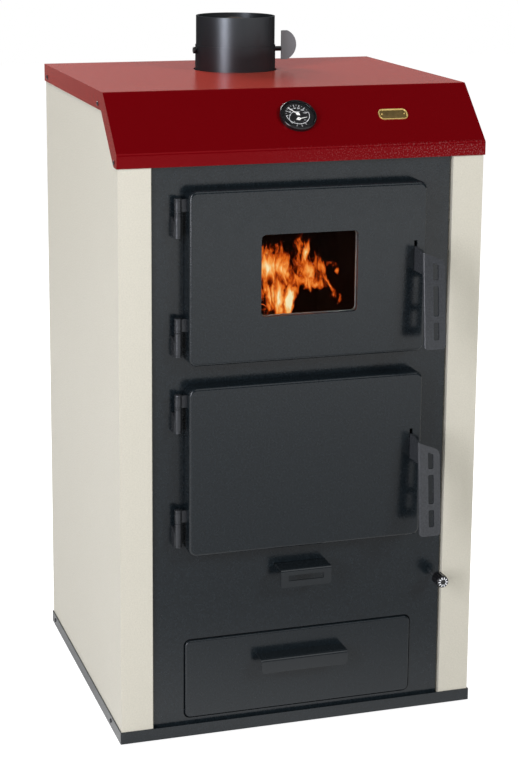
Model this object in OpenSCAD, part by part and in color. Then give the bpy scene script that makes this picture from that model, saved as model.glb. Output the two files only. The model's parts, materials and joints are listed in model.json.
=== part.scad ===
// Wood stove with back boiler
// Millimetres, +Z up, origin on the floor under the middle of the whole footprint.
// Inside the modules y is counted from the plane of the front strips, towards the back.

/* [Cabinet] */
// Width over the side panels
body_w = 576; // [500:2:700]
// Depth of the side panels
body_d = 516; // [440:2:640]
// Height of the flat top above the floor
stove_h = 1002; // [960:2:1060]
// Thickness of cabinet sheet
sheet_t = 2; // [1.5:0.5:3]
// Width of the pale front strips
strip_w = 50; // [40:1:60]
// Depth of the front plate's face behind the strips
plate_recess = 6; // [4:1:9]
// Thickness of the front plate
plate_t = 4; // [3:1:6]

/* [Lid] */
// Distance from the front strips to the top bend
slope_run = 84; // [60:2:110]
// Height of the sloped face
slope_rise = 81.4; // [60:0.2:100]
// Height of the vertical fascia under the slope
fascia_h = 20.6; // [14:0.2:30]
// Width of the flange down each side of the lid
flange_w = 28.4; // [20:0.2:36]

/* [Base] */
// Height of the base skirt
skirt_h = 19; // [14:1:30]
// Height of the feet under the skirt
foot_h = 5; // [3:1:12]

/* [Doors] */
// Distance from a door's side to the side of the front plate
door_side = 48.5; // [44:0.5:60]
// Distance from the upper door to the lid's fascia
door_top_gap = 33; // [20:1:50]
// Height of the lower door's bottom edge
lower_door_z = 306; // [296:1:316]
// Gap between the two doors
door_gap = 33; // [20:1:50]
// Depth of the door pan
door_d = 29; // [26:1:34]
// Gap from the back of the door to the front plate
door_clear = 2; // [1.5:0.5:4]
// Wall of the door pan
door_t = 4; // [3:0.5:5]
// Corner radius of the door
door_corner_r = 12; // [9:1:18]
// Rounding of the front edges
door_edge_r = 5; // [3:0.5:7]
// Distance from a door's side to the opening behind it
mouth_side = 47; // [45:1:66]
// Distance from a door's top and bottom to the opening behind it
mouth_end = 32; // [30:1:50]

/* [Window] */
// Width of the window
window_w = 152; // [120:2:180]
// Height of the window
window_h = 124; // [100:2:140]
// Corner radius of the window
window_r = 7; // [3:1:12]
// Thickness of the glass
glass_t = 4; // [3:1:5]

/* [Hinges] */
// Radius of a hinge barrel
barrel_r = 5.5; // [5:0.25:7]
// Length of a hinge barrel
barrel_len = 60; // [50:1:70]
// Length of the door's own knuckle
knuckle_len = 22; // [16:1:28]
// Radius of a hinge pin
pin_r = 3; // [2.5:0.25:4]
// Distance from the door's side to the pin
hinge_out = 13; // [11:0.5:16]

/* [Latches] */
// Thickness of the latch lever
lever_t = 4; // [3:0.5:5]
// Height of the lever where it leaves the door
lever_h = 37; // [30:1:42]
// Reach of the lever in front of the door
lever_reach = 31; // [24:1:38]
// Width of the grip plate
grip_w = 35; // [28:1:40]
// Length of the grip plate
grip_len = 148; // [130:1:160]
// Splay of the grip plate
grip_splay = 5.5; // [2:0.5:8]

/* [Flue] */
// Outside radius of the flue spigot
flue_r = 65; // [60:1:75]
// Wall of the flue spigot
flue_t = 3; // [2:0.5:4]
// Height of the spigot above the lid
flue_h = 88; // [80:1:120]
// Distance from the spigot's axis to the back of the side panels
flue_back = 150; // [130:2:170]
// Height of the damper spindle above the lid
damper_h = 32; // [26:1:40]

/* [Boiler] */
// Room from the boiler's side to the middle of the air control rod
rod_room = 9.7; // [8:0.1:20]
// Room from the boiler's back to the back of the side panels
boiler_back = 50; // [48:1:70]
// Height of the boiler's bottom edge
boiler_z = 290; // [284:1:296]
// Room over the boiler, up to the top of the lid
boiler_head = 124; // [112:2:140]
// Thickness of the water jacket
jacket_t = 45; // [36:1:50]
// Thickness of boiler plate
boiler_t = 5; // [4:0.5:6]
// Thread radius of the water sockets
socket_r = 15.15; // [13:0.05:20]
// Length of the water sockets
socket_len = 45; // [40:1:60]

/* [Ash drawer] */
// Distance from the drawer's side to the side of the front plate
drawer_side = 49.5; // [42:0.5:60]
// Height of the drawer front
drawer_h = 127; // [110:1:140]
// Height of the drawer front's bottom edge
drawer_z = 33; // [30:1:38]
// Room behind the drawer tray
tray_back = 68; // [50:2:120]
// Gap round the drawer front
drawer_gap = 1.5; // [1.5:0.5:4]

/* [Gauge] */
// Radius of the gauge bezel
bezel_r = 28.5; // [25:0.5:32]
// Height of the bezel above the slope
bezel_h = 7; // [5:0.5:9]

/* [Air control] */
// Radius of the knob
knob_r = 10; // [8:0.5:12]
// Length of the knob
knob_len = 27; // [20:1:32]
// Radius of the control rod
rod_r = 3; // [2.5:0.25:4]
// Distance from the control rod to the side of the front plate
rod_in = 10.8; // [10:0.1:14]

/* [Hidden] */

// Overrun of every cut
over = 1;
// Clearance of a shaft that turns or slides in its hole
run_fit = 0.05;
// Clearance of a pin that is pressed in
press_gap = 0.01;
// Clearance of a sliding or swinging piece
slide_gap = 0.5;
// Clearance between a fixed piece and its seat
seat_gap = 0.3;
// Clearance between flat faces on a slope
face_gap = 0.02;
// Steps of a full circle
$fn = 64;
// Steps of a full circle in a hull
hull_fn = 32;

// Projection of the door in front of the strips
door_out = door_d + door_clear - plate_recess;
door_front_y = -door_out;
door_back_y = door_front_y + door_d;
// Reach of the splayed grip in front of the strips
grip_drop = grip_len * sin(grip_splay);
reach_y = door_out + lever_reach + lever_t + grip_drop;
lid_w = body_w + 2 * sheet_t;
lid_back_y = body_d + sheet_t;
// Place of the front strips when the footprint is centred on the origin
front_y = (reach_y - lid_back_y - socket_len) / 2;

lid_z = stove_h - sheet_t;
slope_a = atan2(slope_rise, slope_run + sheet_t);
low_bend_z = stove_h - slope_rise;
fascia_z = low_bend_z - fascia_h;
floor_z = foot_h + sheet_t;

// The front plate lies between the strips; doors, drawer, rod and boiler are laid out from it
plate_gap = 2.5;
plate_w = body_w - 2 * (strip_w + plate_gap);
plate_y = plate_recess;
plate_back_y = plate_y + plate_t;
plate_z = foot_h + skirt_h;
rod_x_at = plate_w / 2 - rod_in;

door_w = plate_w - 2 * door_side;
door_h = (fascia_z - door_top_gap - door_gap - lower_door_z) / 2;
mouth_w = door_w - 2 * mouth_side;
mouth_h = door_h - 2 * mouth_end;
mouth_r = 8;
drawer_w = plate_w - 2 * drawer_side;
upper_door_z = lower_door_z + door_h + door_gap;
upper_mid_z = upper_door_z + door_h / 2;
lower_mid_z = lower_door_z + door_h / 2;

// Gap from the front plate to the boiler, where the latch noses work
nose_room = 16;
boiler_y = plate_back_y + nose_room;
boiler_w = 2 * (rod_x_at - rod_room);
boiler_d = body_d - boiler_back - boiler_y;
boiler_top = stove_h - boiler_head;
flue_y = body_d - flue_back;
flue_top = stove_h + flue_h;
damper_z = stove_h + damper_h;

// Spigot step that stops the flue pipe, above the damper spindle
pipe_step = 1.2;
pipe_stop_up = 8;
pipe_stop_z = damper_z + pipe_stop_up;
spindle_r = 4;

hinge_x = -door_w / 2 - hinge_out;
hinge_y = -8;
hinge_inset = 12;

// Latch lever, from its pivot
pivot_y = -10;
pivot_up = 146.3;
lever_in = 19.7;
lever_x = door_w / 2 - lever_in;
pivot_r = 4;
boss_r = 10;
tail_top = 1;
tail_low = -6;
nose_top = 10;
strike_t = 4;
nose_t = 5.6;
strike_y = plate_back_y + strike_t;
nose_gap = 0.4;
nose_y = strike_y + nose_gap;
tail_end_y = nose_y + nose_t;

// Rope seal and door liner
rope_w = 12;
rope_margin = 4;
liner_t = 4;
liner_lap = 6;
liner_w = mouth_w + 2 * (rope_margin + rope_w + liner_lap);
liner_h = mouth_h + 2 * (rope_margin + rope_w + liner_lap);
liner_y = -4;
rope_y = liner_y + liner_t;

window_lap = 12;
gasket_t = 2;
retainer_t = 3;
glass_y = door_front_y + door_t + gasket_t;

module in_frame() {
    translate([0, front_y, 0]) children();
}

// A block between two corners
module block(low, high) {
    translate(low) cube(high - low);
}

// A block with rounded corners, seen from the front
module rounded_slab(w, h, r, y0, y1, x = 0, z = 0) {
    translate([x, y1, z]) rotate([90, 0, 0])
        linear_extrude(y1 - y0) rounded_outline(w, h, r);
}

module rounded_outline(w, h, r) {
    square([w - 2 * r, h], center = true);
    square([w, h - 2 * r], center = true);
    for (i = [-1, 1], j = [-1, 1])
        translate([i * (w / 2 - r), j * (h / 2 - r)]) circle(r);
}

// An outline drawn in y and z, pulled along x
module pull_x(x0, x1) {
    translate([x0, 0, 0]) rotate([90, 0, 90]) linear_extrude(x1 - x0) children();
}

// A rod along x, y or z
module rod_x(x0, x1, r) {
    translate([x0, 0, 0]) rotate([0, 90, 0]) cylinder(h = x1 - x0, r = r);
}

module rod_y(y0, y1, r) {
    translate([0, y1, 0]) rotate([90, 0, 0]) cylinder(h = y1 - y0, r = r);
}

module rod_z(z0, z1, r) {
    translate([0, 0, z0]) cylinder(h = z1 - z0, r = r);
}

// Corner of a bent sheet, on the line that runs t inside its outer face
function low_bend(t) = [-sheet_t + t, low_bend_z - t * tan((90 - slope_a) / 2)];
function top_bend(t) = [slope_run + t * tan(slope_a / 2), stove_h - t];

// The lid's local frame: x across, y up the slope, z out of it
module on_slope(x, s) {
    translate([x, -sheet_t + s * cos(slope_a), low_bend_z + s * sin(slope_a)])
        rotate([slope_a, 0, 0]) children();
}

// Points of an arc, the first and the last included
function arc(c, r, a0, a1, n) =
    [for (i = [0:n]) c + r * [cos(a0 + (a1 - a0) * i / n), sin(a0 + (a1 - a0) * i / n)]];

// Outside radius of a bend in the lid, and the steps of a rounded bend
bend_r = 6;
bend_steps = 5;

// The line of the bent top, t inside its outer face
function bent_line(t) = concat(
    [[-sheet_t + t, fascia_z]],
    arc(low_bend(bend_r), bend_r - t, 180, 90 + slope_a, bend_steps),
    arc(top_bend(bend_r), bend_r - t, 90 + slope_a, 90, bend_steps),
    [[lid_back_y - t, stove_h - t]]);

function reversed(list) = [for (i = [len(list) - 1:-1:0]) list[i]];

// Places of the small screws, as y and z
lid_screw_in = 20;
screw_back_in = 22;
lid_screw_y = 24;
lid_screw_up = 2;
base_screw_y = 66;
lid_screws_yz = [
    [body_d - screw_back_in, stove_h - lid_screw_in],
    [top_bend(lid_screw_in)[0] + lid_screw_y, stove_h - lid_screw_in],
    [lid_screw_in * sin(slope_a), fascia_z + lid_screw_in * (1 - cos(slope_a)) + lid_screw_up]];
base_screws_yz = [[body_d - screw_back_in, foot_h + skirt_h / 2], [base_screw_y, foot_h + skirt_h / 2]];
screw_r = 1.8;
screw_hole_r = 2;
screw_head_r = 3.6;
screw_head_h = 2;
screw_dome_share = 1.5;
screw_len = 7;

module screw_holes(places) {
    for (p = places)
        translate([0, p[0], p[1]]) rod_x(-lid_w, lid_w, screw_hole_r);
}

// A pan-head sheet screw that points inwards, on both sides of the stove
module side_screws(places) {
    for (side = [-1, 1], p = places)
        translate([side * lid_w / 2, p[0], p[1]]) rotate([0, side * 90, 0]) {
            rotate_extrude() intersection() {
                translate([0, screw_head_h - screw_head_r * screw_dome_share])
                    circle(screw_head_r * screw_dome_share);
                square([screw_head_r, screw_head_h]);
            }
            rod_z(-screw_len, 0, screw_r);
        }
}

// Feet, at the corners of the base
foot_in_x = 23;
foot_in_y = 20;
foot_bolt_r = 5;
foot_head_r = 9;
foot_nut_h = 8;
foot_len = 30;

module foot_places() {
    for (i = [-1, 1], y = [foot_in_y, body_d - foot_in_y])
        translate([i * (lid_w / 2 - foot_in_x), y, 0]) children();
}

module base_frame() {
    color("#33383b") difference() {
        block([-lid_w / 2, -sheet_t, foot_h], [lid_w / 2, lid_back_y, plate_z]);
        block([-body_w / 2, 0, floor_z], [body_w / 2, body_d, plate_z + over]);
        foot_places() rod_z(0, plate_z, foot_bolt_r + seat_gap);
        screw_holes(base_screws_yz);
    }
}

module levelling_feet() {
    color("#3a3a3a") foot_places() {
        cylinder(h = foot_h, r = foot_head_r, $fn = 6);
        rod_z(0, foot_len, foot_bolt_r);
        translate([0, 0, floor_z]) cylinder(h = foot_nut_h, r = foot_head_r, $fn = 6);
    }
}

// Flanges of the side panels
back_flange = 18;
return_back = plate_back_y + sheet_t;
plate_ledge = 8;

module cabinet_outline() {
    polygon(concat([[0, floor_z]], bent_line(sheet_t), [[body_d, floor_z]]));
}

module right_panel() {
    inner = body_w / 2 - strip_w;
    difference() {
        intersection() {
            pull_x(0, body_w) cabinet_outline();
            union() {
                block([body_w / 2 - sheet_t, 0, 0], [body_w / 2, body_d, stove_h]);
                block([inner, 0, 0], [body_w / 2, sheet_t, stove_h]);
                block([inner, 0, 0], [inner + sheet_t, return_back, stove_h]);
                block([inner - plate_ledge, plate_back_y, 0], [inner + sheet_t, return_back, fascia_z]);
                block([body_w / 2 - back_flange, body_d - sheet_t, 0], [body_w / 2, body_d, stove_h]);
            }
        }
        screw_holes(lid_screws_yz);
        screw_holes(base_screws_yz);
    }
}

module right_side_panel() {
    color("#d9d5c5") right_panel();
}

module left_side_panel() {
    color("#d9d5c5") mirror([1, 0, 0]) right_panel();
}

// Water sockets at the back
socket_wall = 5;
socket_side = 65;
socket_x = boiler_w / 2 - socket_side;
socket_in_z = 60;
flow_z = boiler_top - socket_in_z;
return_z = boiler_z + socket_in_z;
thread_len = 25;
thread_step = 2;
back_out = lid_back_y + socket_len - boiler_y - boiler_d;
drain_r = 10.3;
drain_in_z = 30;
drain_z = boiler_z + drain_in_z;
plug_in = 15;
plug_head = 12;
plug_head_out = 2;
back_hole_gap = 4;

module rear_panel() {
    back_y = body_d - sheet_t;
    wide = body_w / 2 - sheet_t - seat_gap;
    color("#3a3d3f") difference() {
        block([-wide, back_y - sheet_t, floor_z], [wide, back_y, lid_z]);
        for (z = [flow_z, return_z])
            translate([socket_x, 0, z]) rod_y(0, lid_back_y, socket_r + socket_wall + back_hole_gap);
        translate([-socket_x, 0, drain_z])
            rod_y(0, lid_back_y, drain_r + socket_wall + back_hole_gap);
    }
}

// Pull plate of the grate shaker
pull_w = 82;
pull_t = 2.5;
pull_top = 271;
pull_reach = 27;
pull_lip = 29;
pull_slot_w = 58;
pull_slot_h = 9;
pull_slot_r = 1.5;
pull_corner_r = 4;

// Height of the air control rod
rod_z_at = 227;

module front_plate() {
    top = low_bend_z - plate_t;
    color("#33383b") difference() {
        block([-plate_w / 2, plate_y, floor_z], [plate_w / 2, plate_back_y, top]);
        for (z = [upper_mid_z, lower_mid_z])
            rounded_slab(mouth_w, mouth_h, mouth_r, plate_y - over, plate_back_y + over, 0, z);
        rounded_slab(drawer_w + 2 * drawer_gap, drawer_h + 2 * drawer_gap, drawer_r + drawer_gap,
            plate_y - over, plate_back_y + over, 0, drawer_z + drawer_h / 2);
        for (z = [upper_door_z, lower_door_z])
            block([lever_x - nose_side, plate_y - over, z + pivot_up - nose_drop],
                [lever_x + lever_t + nose_side, plate_back_y + over, z + pivot_up + strike_low]);
        block([-pull_w / 2 - slide_gap, plate_y - over, pull_top - pull_t - slide_gap],
            [pull_w / 2 + slide_gap, plate_back_y + over, pull_top + slide_gap]);
        translate([rod_x_at, 0, rod_z_at]) rod_y(plate_y - over, plate_back_y + over, rod_r + run_fit);
    }
}

// Room round the latch nose, sideways and below, and the strike's lower edge
nose_side = 2;
nose_drop = 22;
strike_low = 3;
strike_h = 16;
strike_w = 24;
strike_r = 3;
strike_lead = 1.3;

module latch_strikes() {
    color("#6f7375") for (z = [upper_door_z, lower_door_z])
        difference() {
            rounded_slab(strike_w, strike_h, strike_r, plate_back_y, strike_y,
                lever_x + lever_t / 2, z + pivot_up + strike_low + strike_h / 2);
            // Lead-in at the lower edge, in front of the nose
            translate([lever_x - strike_w, plate_back_y, z + pivot_up + strike_low])
                rotate([45, 0, 0]) cube([2 * strike_w, strike_lead, strike_lead]);
        }
}

flue_hole_gap = 4;
flue_hole_r = flue_r + flue_hole_gap;
gauge_hole_r = 26;
gauge_s = 60;
// Rounded lower corner of the flange, in shares of its radius
flange_corner_r = 5;
flange_corner_shares = [[1, tan(slope_a)], [0.3, 0.3], [-0.6, 0]];

module top_lid() {
    flange_end = top_bend(flange_w)[0] - (top_bend(flange_w)[1] - fascia_z) / tan(slope_a);
    color("#8f1418") difference() {
        union() {
            pull_x(-lid_w / 2, lid_w / 2) polygon(concat(
                bent_line(0), [[lid_back_y, stove_h - flange_w]],
                [[lid_back_y - sheet_t, stove_h - flange_w]], reversed(bent_line(sheet_t))));
            for (x = [-lid_w / 2, body_w / 2])
                pull_x(x, x + sheet_t) polygon(concat(
                    bent_line(0), [[lid_back_y, stove_h - flange_w]],
                    [top_bend(flange_w)],
                    [for (c = flange_corner_shares) [flange_end, fascia_z] + flange_corner_r * c]));
        }
        translate([0, flue_y, 0]) rod_z(lid_z - over, stove_h + over, flue_hole_r);
        on_slope(0, gauge_s) rod_z(-sheet_t - over, over, gauge_hole_r);
        screw_holes(lid_screws_yz);
    }
}

module lid_screws() {
    color("#2e2e2e") side_screws(lid_screws_yz);
}

module base_screws() {
    color("#2e2e2e") side_screws(base_screws_yz);
}

// Ash pit, a sheet box that carries the boiler
pit_t = 3;
tray_side = 21;
tray_w = drawer_w - 2 * tray_side;
tray_h = 108;
tray_z = 40;
tray_t = 2;
runner_w = 16;
inner_w = boiler_w - 2 * jacket_t;
inner_d = boiler_d - 2 * jacket_t;
inner_y = boiler_y + jacket_t;
grate_side = 54;
grate_end = 51;
grate_open_w = inner_w - 2 * grate_side;
grate_open_d = inner_d - 2 * grate_end;
grate_open_y = inner_y + grate_end;
air_hole_y = 76;
air_hole_d = 36;
air_hole_z = 208;
air_hole_h = 36;
runner_in = 16;

module ash_pit() {
    half = boiler_w / 2;
    back = boiler_y + boiler_d;
    runner_x = tray_w / 2 + slide_gap;
    runner_y = plate_back_y + runner_in;
    color("#4a4d4f") difference() {
        union() {
            difference() {
                block([-half, plate_back_y, floor_z], [half, back, boiler_z]);
                block([-half + pit_t, plate_back_y - over, floor_z + pit_t],
                    [half - pit_t, back - pit_t, boiler_z - pit_t]);
            }
            for (side = [0, 1]) mirror([side, 0, 0]) {
                block([runner_x - runner_w, runner_y, tray_z - pit_t], [half - pit_t, back - pit_t, tray_z]);
                block([runner_x, runner_y, tray_z], [runner_x + pit_t, back - pit_t, tray_z + runner_w]);
            }
        }
        block([-grate_open_w / 2, grate_open_y, boiler_z - pit_t - over],
            [grate_open_w / 2, grate_open_y + grate_open_d, boiler_z + over]);
        block([half - pit_t - over, air_hole_y, air_hole_z],
            [half + over, air_hole_y + air_hole_d, air_hole_z + air_hole_h]);
    }
}

// Boiler, a water jacket round the firebox
inner_top = boiler_top - jacket_t;
neck_t = boiler_t;
flue_neck_r = flue_r - flue_t;
baffle_rise = 14;
baffle_t = 6;
baffle_drop = 70;
baffle_in = 70;
baffle_z = inner_top - baffle_drop;
baffle_y = inner_y + baffle_in;
baffle_ledge = 12;
pocket_r = 6;
pocket_x = 60;
pocket_in = 30;
pocket_y = boiler_y + pocket_in;
pocket_bore_r = 7;
bulb_z = boiler_top - jacket_t + 4 * boiler_t;
pocket_head_r = 10;
pocket_head_h = 8;

// A sloped strip across the firebox, with its top at the baffle's underside plus up
module baffle_strip(x0, x1, up) {
    back = inner_y + inner_d - seat_gap;
    pull_x(x0, x1) polygon([
        [baffle_y, baffle_z + baffle_rise + up],
        [back, baffle_z - baffle_rise + up],
        [back, baffle_z - baffle_rise + up - baffle_t],
        [baffle_y, baffle_z + baffle_rise + up - baffle_t]]);
}

module welded_boiler() {
    difference() {
        boiler_hull();
        block([-inner_w / 2, inner_y, boiler_z - over], [inner_w / 2, inner_y + inner_d, inner_top]);
        for (z = [upper_mid_z, lower_mid_z])
            rounded_slab(mouth_w, mouth_h, mouth_r, plate_back_y - over, inner_y + over, 0, z);
        translate([0, flue_y, 0]) rod_z(inner_top - over, boiler_top + over, flue_neck_r);
        for (z = [flow_z, return_z]) translate([socket_x, 0, z]) boiler_port(socket_r);
        translate([-socket_x, 0, drain_z]) boiler_port(drain_r);
        translate([pocket_x, pocket_y, 0])
            rod_z(boiler_top - boiler_t - over, boiler_top + over, pocket_bore_r);
    }
}

// The water jacket's sections, which meet in its welds
module jacket_section(low, high) {
    color("#5a4a44") intersection() {
        welded_boiler();
        block(low, high);
    }
}

module jacket_front() {
    jacket_section([-boiler_w / 2, plate_back_y, boiler_z], [boiler_w / 2, inner_y, boiler_top]);
}

module jacket_back() {
    jacket_section([-boiler_w / 2, inner_y + inner_d, boiler_z],
        [boiler_w / 2, boiler_y + boiler_d, boiler_top]);
}

module jacket_top() {
    jacket_section([-boiler_w / 2, inner_y, inner_top], [boiler_w / 2, inner_y + inner_d, boiler_top]);
}

// The right side wall, with the ledge that carries the baffle plate
module jacket_right() {
    jacket_section([inner_w / 2, inner_y, boiler_z], [boiler_w / 2, inner_y + inner_d, inner_top]);
    color("#5a4a44") baffle_strip(inner_w / 2 - baffle_ledge, inner_w / 2 + boiler_t / 2, 0);
}

module jacket_left() {
    mirror([1, 0, 0]) jacket_right();
}

// The boiler's outer skin, its inner walls and the necks of its mouths, still without bores
module boiler_hull() {
    difference() {
        block([-boiler_w / 2, boiler_y, boiler_z], [boiler_w / 2, boiler_y + boiler_d, boiler_top]);
        difference() {
            block([-boiler_w / 2 + boiler_t, boiler_y + boiler_t, boiler_z + boiler_t],
                [boiler_w / 2 - boiler_t, boiler_y + boiler_d - boiler_t, boiler_top - boiler_t]);
            block([-inner_w / 2 - boiler_t, inner_y - boiler_t, boiler_z],
                [inner_w / 2 + boiler_t, inner_y + inner_d + boiler_t, inner_top + boiler_t]);
            mouth_necks(boiler_y, inner_y);
            translate([0, flue_y, 0]) rod_z(inner_top, boiler_top, flue_neck_r + neck_t);
        }
    }
    mouth_necks(plate_back_y, boiler_y + boiler_t);
}

module mouth_necks(y0, y1) {
    for (z = [upper_mid_z, lower_mid_z])
        rounded_slab(mouth_w + 2 * neck_t, mouth_h + 2 * neck_t, mouth_r + neck_t, y0, y1, 0, z);
}

module boiler_port(r) {
    rod_y(boiler_y + boiler_d - boiler_t - over, boiler_y + boiler_d + over, r - thread_step);
}

module baffle_plate() {
    half = inner_w / 2 - seat_gap;
    color("#4b4640") baffle_strip(-half, half, baffle_t);
}

brick_t = 24;
brick_h = 130;
brick_count = 2;

module firebricks() {
    side_d = inner_d - brick_t - 2 * seat_gap;
    color("#b9a183") {
        for (side = [0, 1], i = [0:brick_count - 1]) mirror([side, 0, 0])
            block([inner_w / 2 - brick_t, inner_y + seat_gap + i * side_d / brick_count, boiler_z],
                [inner_w / 2 - seat_gap,
                    inner_y + seat_gap + (i + 1) * side_d / brick_count - seat_gap, boiler_z + brick_h]);
        for (i = [0:brick_count - 1])
            block([-inner_w / 2 + seat_gap + i * inner_w / brick_count,
                    inner_y + inner_d - brick_t, boiler_z],
                [-inner_w / 2 + (i + 1) * inner_w / brick_count - seat_gap,
                    inner_y + inner_d - seat_gap, boiler_z + brick_h]);
    }
}

// Grate: a fixed frame, and a slotted plate that the shaker slides in it
frame_h = 12;
ledge_h = 4;
ledge_w = 9;
shaker_travel = 32;
grate_gap = 1;
grate_w = grate_open_w + 2 * ledge_w;
grate_d = grate_open_d - 2 * ledge_w;
grate_slots = 12;
grate_slot_w = 9;
grate_bridge = 20;

module grate_frame() {
    half = inner_w / 2 - brick_t - grate_gap;
    color("#3c3a38") difference() {
        block([-half, inner_y + seat_gap, boiler_z],
            [half, inner_y + inner_d - brick_t - grate_gap, boiler_z + frame_h]);
        block([-grate_open_w / 2, grate_open_y, boiler_z - over],
            [grate_open_w / 2, grate_open_y + grate_open_d, boiler_z + frame_h + over]);
        block([-grate_w / 2 - slide_gap, grate_open_y - ledge_w, boiler_z + ledge_h],
            [grate_w / 2 + slide_gap, grate_open_y + grate_open_d + ledge_w, boiler_z + frame_h + over]);
    }
}

grate_back_y = grate_open_y + grate_open_d + ledge_w - grate_gap;
tab_w = 20;
tab_t = 8;
tab_y = grate_open_y + shaker_travel + 2 * tab_t;

module moving_grate() {
    top = boiler_z + frame_h;
    front = grate_back_y - grate_d;
    pitch = grate_d / grate_slots;
    color("#3c3a38") {
        difference() {
            block([-grate_w / 2, front, boiler_z + ledge_h], [grate_w / 2, grate_back_y, top]);
            for (i = [0:grate_slots - 1], side = [-1, 1])
                translate([side * grate_w / 4, front + pitch * (i + 0.5), boiler_z])
                    linear_extrude(frame_h * 2)
                    square([grate_w / 2 - grate_bridge, grate_slot_w], center = true);
        }
        block([-tab_w / 2, tab_y, pull_top], [tab_w / 2, tab_y + tab_t, boiler_z + ledge_h]);
    }
}

// A bent pull: a flat plate that ends in a lip turned down
module bent_pull(w, top, front, back, lip, t, corner_r) {
    bend = 2 * t;
    intersection() {
        pull_x(-w / 2, w / 2) polygon(concat(
            [[back, top]], arc([front + bend, top - bend], bend, 90, 180, bend_steps),
            [[front, top - lip], [front + t, top - lip]],
            arc([front + bend, top - bend], bend - t, 180, 90, bend_steps),
            [[back, top - t]]));
        union() {
            rounded_slab(w, 2 * lip, corner_r, front - over, front + bend, 0, top);
            block([-w / 2, front + bend, top - t - over], [w / 2, back + over, top + over]);
        }
    }
}

module shaker_pull() {
    color("#33383b") difference() {
        bent_pull(pull_w, pull_top, -pull_reach, tab_y + 2 * tab_t, pull_lip,
            pull_t, pull_corner_r);
        rounded_slab(pull_slot_w, pull_slot_h, pull_slot_r, -pull_reach - over,
            -pull_reach + pull_t + over, 0, pull_top - pull_lip / 2);
    }
}

// Flue spigot on the boiler's top, with its damper
spigot_flange = 12;
damper_disc_r = 53;
disc_t = 2;
disc_lug_half = 5;
spindle_out = 5;
spindle_head_from = 3;
spindle_head_to = 7;
spindle_head_out = 1.5;
handle_x = 79.5;
handle_w = 26.5;
handle_up = 32;
handle_down = 20;
handle_t = 3;
handle_trim = 2;

module flue_spigot() {
    color("#3b3d3f") translate([0, flue_y, 0]) difference() {
        union() {
            rod_z(boiler_top, boiler_top + flue_t, flue_r + spigot_flange);
            rod_z(boiler_top, pipe_stop_z, flue_r + pipe_step);
            rod_z(boiler_top, flue_top, flue_r);
        }
        rod_z(boiler_top - over, flue_top + over, flue_r - flue_t);
        translate([0, 0, damper_z]) rod_x(-lid_w, lid_w, spindle_r + run_fit);
    }
}

module damper_spindle() {
    color("#8a8d90") translate([0, flue_y, damper_z]) {
        rod_x(-flue_r - spindle_out, handle_x, spindle_r);
        rod_x(-flue_r - spindle_head_to, -flue_r - spindle_head_from, spindle_r + spindle_head_out);
    }
}

module damper_disc() {
    color("#4a4a4a") translate([0, flue_y + spindle_r, damper_z]) {
        rod_y(0, disc_t, damper_disc_r);
        for (x = [-damper_disc_r / 2, damper_disc_r / 2])
            difference() {
                block([x - disc_lug_half, -2 * spindle_r - disc_t, -spindle_r - disc_t],
                    [x + disc_lug_half, 0, spindle_r + disc_t]);
                translate([0, -spindle_r, 0]) rod_x(-lid_w, lid_w, spindle_r + press_gap);
            }
    }
}

// Half-moon handle of the damper, straight side towards the pipe
module damper_handle() {
    height = handle_up + handle_down;
    mid = (handle_up - handle_down) / 2;
    moon_r = (pow(height / 2, 2) + pow(handle_w, 2)) / (2 * handle_w);
    color("#2f3133") translate([0, flue_y + handle_t / 2, damper_z]) rotate([90, 0, 0])
        linear_extrude(handle_t) intersection() {
            translate([handle_x, mid - height / 2 + handle_trim])
                square([handle_w, height - 2 * handle_trim]);
            translate([handle_x + handle_w - moon_r, mid]) circle(moon_r);
        }
}

// Sockets and pipes
module water_socket(z) {
    translate([socket_x, boiler_y + boiler_d, z]) difference() {
        rod_y(0, back_out, socket_r + socket_wall);
        rod_y(-over, back_out + over, socket_r - thread_step);
        rod_y(back_out - thread_len, back_out + over, socket_r);
    }
}

module flow_socket() {
    color("#6d7073") water_socket(flow_z);
}

module return_socket() {
    color("#6d7073") water_socket(return_z);
}

module drain_plug() {
    color("#b08d4a") translate([-socket_x, boiler_y + boiler_d, drain_z]) {
        rod_y(0, back_out - plug_in, drain_r + socket_wall);
        translate([0, back_out - plug_in, 0]) rotate([-90, 0, 0])
            cylinder(h = plug_head, r = drain_r + plug_head_out, $fn = 6);
    }
}

module sensor_pocket() {
    color("#b08d4a") translate([pocket_x, pocket_y, 0]) difference() {
        union() {
            rod_z(bulb_z - boiler_t, boiler_top, pocket_r);
            translate([0, 0, boiler_top]) cylinder(h = pocket_head_h, r = pocket_head_r, $fn = 6);
        }
        rod_z(bulb_z, boiler_top + pocket_head_h + over, capillary_r + seat_gap);
    }
}

capillary_r = 2;
capillary_bend_r = 2.4;
capillary_lead = 14;
capillary_rise = 40;
case_depth = 22;
case_r = 25;

function slope_point(s, h) = [0, -sheet_t + s * cos(slope_a) - h * sin(slope_a),
    low_bend_z + s * sin(slope_a) + h * cos(slope_a)];

// A round wire from one point to the next
module wire(p, q, r) {
    d = q - p;
    translate(p) rotate([0, acos(d[2] / norm(d)), atan2(d[1], d[0])]) cylinder(h = norm(d), r = r);
}

module capillary_tube() {
    route = [slope_point(gauge_s, -case_depth), slope_point(gauge_s, -case_depth - capillary_lead),
        [pocket_x, pocket_y, boiler_top + capillary_rise], [pocket_x, pocket_y, bulb_z]];
    color("#b5733c") {
        for (i = [0:len(route) - 2]) wire(route[i], route[i + 1], capillary_r);
        for (i = [1:len(route) - 2]) translate(route[i]) sphere(capillary_bend_r);
    }
}

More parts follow.
